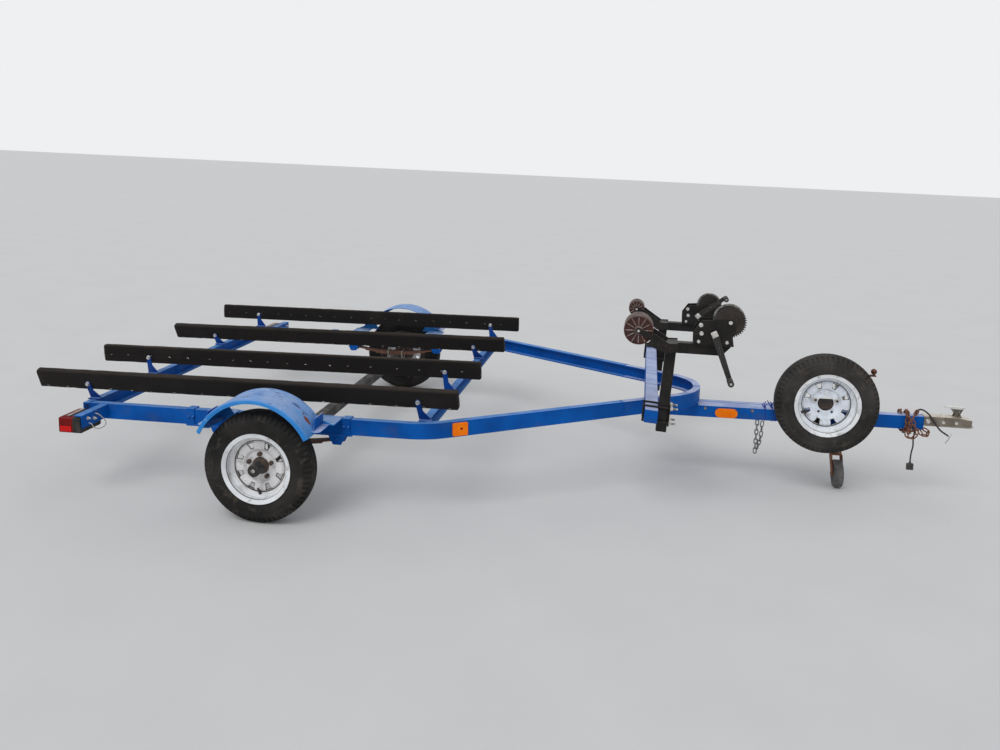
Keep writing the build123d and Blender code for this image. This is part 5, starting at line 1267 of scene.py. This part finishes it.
dice = random.Random(7)
built = bmesh.new()
for x, skew in TIES:
    high, low = TUBE_TOP + TIE_OFF, TUBE_LOW - TIE_OFF
    skewed = x + skew * 0.3
    for a, b in (((x, -TIE_HALF, high), (skewed, TIE_HALF, high)), ((x, -TIE_HALF, low), (x, TIE_HALF, low)),
                 ((x, -TIE_HALF, low), (x, -TIE_HALF, high)), ((x, TIE_HALF, low), (skewed, TIE_HALF, high))):
        bar_between(built, a, b, 0.0036, 0.0036)
    bar_between(built, (x - 0.002, TIE_HEAD_Y, high + 0.001), (x + 0.006, TIE_HEAD_Y, high + 0.001),
                0.0068, 0.0068)
    for _ in range(4):
        base = Vector((x + dice.uniform(-0.004, 0.006), TIE_HEAD_Y + dice.uniform(-0.01, 0.02), high))
        tip = base + Vector((dice.uniform(-0.030, 0.030), dice.uniform(-0.022, 0.016),
                             dice.uniform(0.018, 0.046)))
        sway = Vector((dice.uniform(-0.006, 0.006), dice.uniform(-0.006, 0.006), 0.003))
        bars_through(built, (base, base.lerp(tip, 0.55) + sway, tip), 0.0046, 0.0022)
set_piece("cable_ties", built, tie_nylon)

# Tongue's bolts: the spare's bracket, the jack's bracket and the ears of the drop bracket are bolted
# through the tube and its side channels with plated bolts.
MIDDLE_BOLT = (0.0165, 0.0080, 0.0105)
SLIM_BOLT = (0.0130, 0.0060, 0.0085)
TUBE_BRACKET_Y = 0.0334
EAR_Y = 0.0696
CHANNEL_Y = 0.0635
CHANNEL_BOLT_Z = 0.336
# side, X and Z of the bolts through the spare's bracket and the jack's; X and Z through each ear
BRACKET_BOLTS = ((-1, (2.662, 2.724), (0.300, 0.340)), (1, (2.766, 2.852), (0.292, 0.372)))
EAR_BOLTS = ((1.764, 0.392), (1.788, 0.392), (1.776, 0.318))
CHANNEL_BOLTS_X = (1.900, 2.080, 2.330, 2.520)
built = bmesh.new()
for side, xs, zs in BRACKET_BOLTS:
    for x in xs:
        for z in zs:
            hex_bolt(built, shift(x, side * TUBE_BRACKET_Y, z) @ OUTWARD[side], *MIDDLE_BOLT)
for side in (-1, 1):
    for x, z in EAR_BOLTS:
        hex_bolt(built, shift(x, side * EAR_Y, z) @ OUTWARD[side], *MIDDLE_BOLT)
    for x in CHANNEL_BOLTS_X:
        hex_bolt(built, shift(x, side * CHANNEL_Y, CHANNEL_BOLT_Z) @ OUTWARD[side], *SLIM_BOLT)
set_piece("tongue_bolts", built, dull_zinc)

# Spare: carried on two studs of a bracket, held by two whitish nuts. The carrier was black and is
# brown with rust and mud behind the wheel.
STUD_RADIUS = 0.05715
STUD_STEP = 72
NUT_SEAT = -0.0002
SPARE_NUT = (0.0190, 0.0130, 0.0135)
# the two of five studs, counted from the top, that the carrier has
CARRIER_STUDS = (1, 4)
dress(finish("carrier_brown", ((0.022, 0.016, 0.013), 0.75, 0.0),
             tint(grain(26, 0.35, 0.7, 6), (0.012, 0.010, 0.009), (0.050, 0.030, 0.021)),
             level(grain(60), 0.55, 0.9), [(grain(240), 0.0006, 0.5)]), "spare_carrier")
built = bmesh.new()
for k in CARRIER_STUDS:
    turn = math.radians(STUD_STEP * k)
    stud = shift(STUD_RADIUS * math.sin(turn), NUT_SEAT, STUD_RADIUS * math.cos(turn))
    hex_bolt(built, shift(*SPARE_PLACE) @ stud @ RIGHT, *SPARE_NUT)
set_piece("spare_nuts", built, zinc)

# Jack: zinc-plated tube, bracket and crank, blotched with rust; the leg's fork is bare rusty steel
# and the caster a hard grey rubber wheel on a steel axle.
plated = tint(grain(24, 0.35, 0.7), (0.46, 0.45, 0.42), (0.28, 0.25, 0.21))
plated = tint(grain(44, 0.55, 0.68, 7), plated, (0.15, 0.060, 0.030))
worn_top = tint(grain(60, 0.35, 0.7, 6), (0.16, 0.060, 0.035), (0.060, 0.030, 0.022))
dress(finish("jack_plate", ((0.42, 0.41, 0.38), 0.45, 0.85), tint(along("Z", 0.590, 0.610), plated, worn_top),
             level(grain(44, 0.5, 0.7, 7), 0.34, 0.85), [(grain(260), 0.0005, 0.5)]), "jack_tube", "jack_leg")
scale_rust = tint(grain(40, 0.3, 0.7, 6), (0.30, 0.115, 0.050), (0.13, 0.055, 0.032))
dress(finish("fork_rust", ((0.24, 0.095, 0.045), 0.88, 0.0),
             tint(grain(90, 0.6, 0.75), scale_rust, (0.34, 0.24, 0.18)),
             bumps=[(grain(260, 0.2, 0.8, 6), 0.0011, 0.8)]), "jack_fork")
dress(finish("caster_grey", ((0.085, 0.085, 0.088), 0.75, 0.0),
             tint(grain(30, 0.3, 0.7, 5), (0.055, 0.055, 0.058), (0.16, 0.15, 0.14)),
             bumps=[(grain(300), 0.0006, 0.5)]), "jack_wheel")

# Coupler: zinc-plated pressed steel, straw coloured with age and dirty in its folds, its top faces paler with
# a painted highlight. Three bolts go through its side, and the latch is a bright bar over a dark spring
# mechanism.
COUPLER_BOLTS_X = (3.242, 3.316, 3.380)
COUPLER_SIDE = 0.0291
COUPLER_BOLT_Z = 0.325
straw = tint(grain(16, 0.3, 0.7), (0.26, 0.225, 0.185), (0.13, 0.110, 0.090))
# painted highlight: faces that look up are much paler
straw = tint(upward(0.25, 0.8), straw, (0.62, 0.555, 0.470))
straw = tint(level(grain(60, 0.55, 0.75, 6), 0.0, 0.8), straw, (0.10, 0.075, 0.055))
dress(finish("coupler_zinc", ((0.34, 0.30, 0.25), 0.48, 0.55), straw, level(grain(40), 0.30, 0.65),
             [(grain(240), 0.0005, 0.5)]), "coupler")
bar_top = tint(grain(60, 0.5, 0.75), (0.74, 0.73, 0.70), (0.40, 0.37, 0.33))
bar_legs = tint(grain(90, 0.4, 0.7), (0.050, 0.042, 0.036), (0.30, 0.27, 0.23))
dress(finish("bright_bar", ((0.70, 0.69, 0.66), 0.35, 0.75),
             tint(along("Z", 0.5010, 0.5025), bar_legs, bar_top)), "coupler_latch")
built = bmesh.new()
for side in (-1, 1):
    for x in COUPLER_BOLTS_X:
        hex_bolt(built, shift(x, side * COUPLER_SIDE, COUPLER_BOLT_Z) @ OUTWARD[side], *BIG_BOLT)
set_piece("coupler_bolts", built, zinc)

# Latch's return spring: wire coiled over its pin between the coupler's cheeks, dark with grease.
SPRING_PLACE = Vector((3.392, 0, 0.368))
SPRING_TURNS = 4
SPRING_STEPS = 12
SPRING_HALF = 0.0056
SPRING_R = 0.0078
SPRING_WIRE = 0.0012
SPRING_PIN = [(0, -0.0215), (0.0085, -0.0215), (0.0085, -0.0180), (0.0052, -0.0180), (0.0052, 0.0180),
              (0.0085, 0.0180), (0.0085, 0.0215), (0, 0.0215)]
mechanism = finish("mechanism_dark", ((0.06, 0.05, 0.042), 0.5, 0.7),
                   tint(grain(90, 0.4, 0.7), (0.05, 0.042, 0.036), (0.22, 0.19, 0.16)))


def round_wire(middle, out, across, radius):
    """Six points round a wire, where it crosses the plane of two directions."""
    turns = [j * math.pi / 3 for j in range(6)]
    return [middle + (out * math.cos(turn) + across * math.sin(turn)) * radius for turn in turns]


rings = []
for k in range(SPRING_TURNS * SPRING_STEPS + 1):
    angle = 2 * math.pi * k / SPRING_STEPS
    outward = Vector((math.sin(angle), 0, math.cos(angle)))
    y = SPRING_HALF * (2 * k / (SPRING_TURNS * SPRING_STEPS) - 1)
    rings.append(round_wire(SPRING_PLACE + Vector((0, y, 0)) + outward * SPRING_R, outward, Vector((0, 1, 0)),
                            SPRING_WIRE))
built = bmesh.new()
skin(built, rings)
spin(built, SPRING_PIN, Matrix.Translation(SPRING_PLACE), 20)
set_piece("latch_spring", built, mechanism)

# Chains: one galvanised length, doubled back up to its bolt under the tongue, and the safety chain,
# brown with rust, wound round the tube behind the coupler, with spare links hanging off it in loops.
CHAIN_WIRE = 0.0058
LOOP_WIRE = 0.0072
LINK_PITCH = 0.0264
LINK_LENGTH = 0.038
LINK_WIDTH = 0.022
LINK_STEPS = 20
SECOND_HALF = [((2.388, -0.050, 0.276), (2.384, -0.052, 0.190), (2.368, -0.056, 0.124))]
LOOPS = [((3.118, -0.062, 0.384), (3.146, -0.066, 0.330), (3.138, -0.064, 0.262)),
         ((3.176, -0.064, 0.392), (3.150, -0.068, 0.340), (3.178, -0.066, 0.282)),
         ((3.126, -0.058, 0.276), (3.134, -0.062, 0.240), (3.160, -0.062, 0.236), (3.184, -0.058, 0.258),
          (3.180, -0.054, 0.290)),
         ((3.188, -0.058, 0.286), (3.206, -0.064, 0.258), (3.232, -0.062, 0.256), (3.240, -0.056, 0.276),
          (3.214, -0.050, 0.290))]
galvanised = finish("galvanised", ((0.26, 0.265, 0.27), 0.55, 0.6),
                    tint(grain(90, 0.3, 0.7), (0.30, 0.305, 0.31), (0.13, 0.13, 0.13)),
                    bumps=[(grain(300), 0.0005, 0.5)])
dress(galvanised, "hanging_chain")
flakes = tint(grain(60, 0.3, 0.7, 6), (0.26, 0.105, 0.060), (0.10, 0.042, 0.026))
chain_rust = finish("chain_rust", ((0.20, 0.080, 0.045), 0.88, 0.0),
                    tint(grain(40, 0.6, 0.8), flakes, (0.33, 0.22, 0.16)),
                    bumps=[(grain(320, 0.2, 0.8, 6), 0.0009, 0.8)])
dress(chain_rust, "safety_chain")


def chain_link(built, middle, run, roll, wire):
    """Round-wire link: two straight sides and two bends, its long axis along the run."""
    run = run.normalized()
    side = (Matrix.Rotation(roll, 4, run) @ run.orthogonal()).normalized()
    bend_r = (LINK_WIDTH - wire) / 2
    straight = (LINK_LENGTH - wire) / 2 - bend_r
    rings = []
    for k in range(LINK_STEPS):
        turn = 2 * math.pi * k / LINK_STEPS
        out = run * math.cos(turn) + side * math.sin(turn)
        centre = middle + run * math.copysign(straight, math.cos(turn)) + out * bend_r
        rings.append(round_wire(centre, out, run.cross(side), wire / 2))
    skin(built, rings, caps=False, loop=True)


def chain_run(built, corners, first_roll, wire):
    """Links in a row along straight runs between corners, each turned a quarter from the last."""
    walk = []
    for a, b in zip(corners, corners[1:]):
        a, b = Vector(a), Vector(b)
        count = max(1, round((b - a).length / LINK_PITCH))
        walk += [(a.lerp(b, (k + 0.5) / count), b - a) for k in range(count)]
    for k, (middle, run) in enumerate(walk):
        chain_link(built, middle, run, first_roll + math.pi / 2 * (k % 2), wire)


for name, coat, runs, rolls, wire, slot in (
        ("chain_second_half", galvanised, SECOND_HALF, (0.6,), CHAIN_WIRE, "chain_zinc"),
        ("safety_chain_loops", chain_rust, LOOPS, (0.3, 0.9, 0.8, 1.1), LOOP_WIRE, "rusty_chain")):
    built = bmesh.new()
    for corners, roll in zip(runs, rolls):
        chain_run(built, corners, roll, wire)
    set_piece(name, built, coat, sharp=60)

# Second lead's cut end: two thin wires, one green and one white, frayed out of the sheath.
THIN_WIRE = 0.0022
FRAYED = [("green", (0.02, 0.16, 0.07), (0.10, 0.16, 0.10),
           [(3.342, -0.045, 0.257), (3.349, -0.046, 0.247), (3.343, -0.046, 0.234), (3.335, -0.047, 0.226),
            (3.330, -0.047, 0.214)]),
          ("white", (0.60, 0.62, 0.58), (0.35, 0.33, 0.30),
           [(3.341, -0.045, 0.257), (3.352, -0.045, 0.252), (3.357, -0.046, 0.264), (3.353, -0.046, 0.274)])]
for colour, fresh, dusty, route in FRAYED:
    built = bmesh.new()
    bars_through(built, route, THIN_WIRE, THIN_WIRE)
    set_piece("frayed_" + colour, built, sheath(colour + "_wire", fresh, dusty), sharp=60)
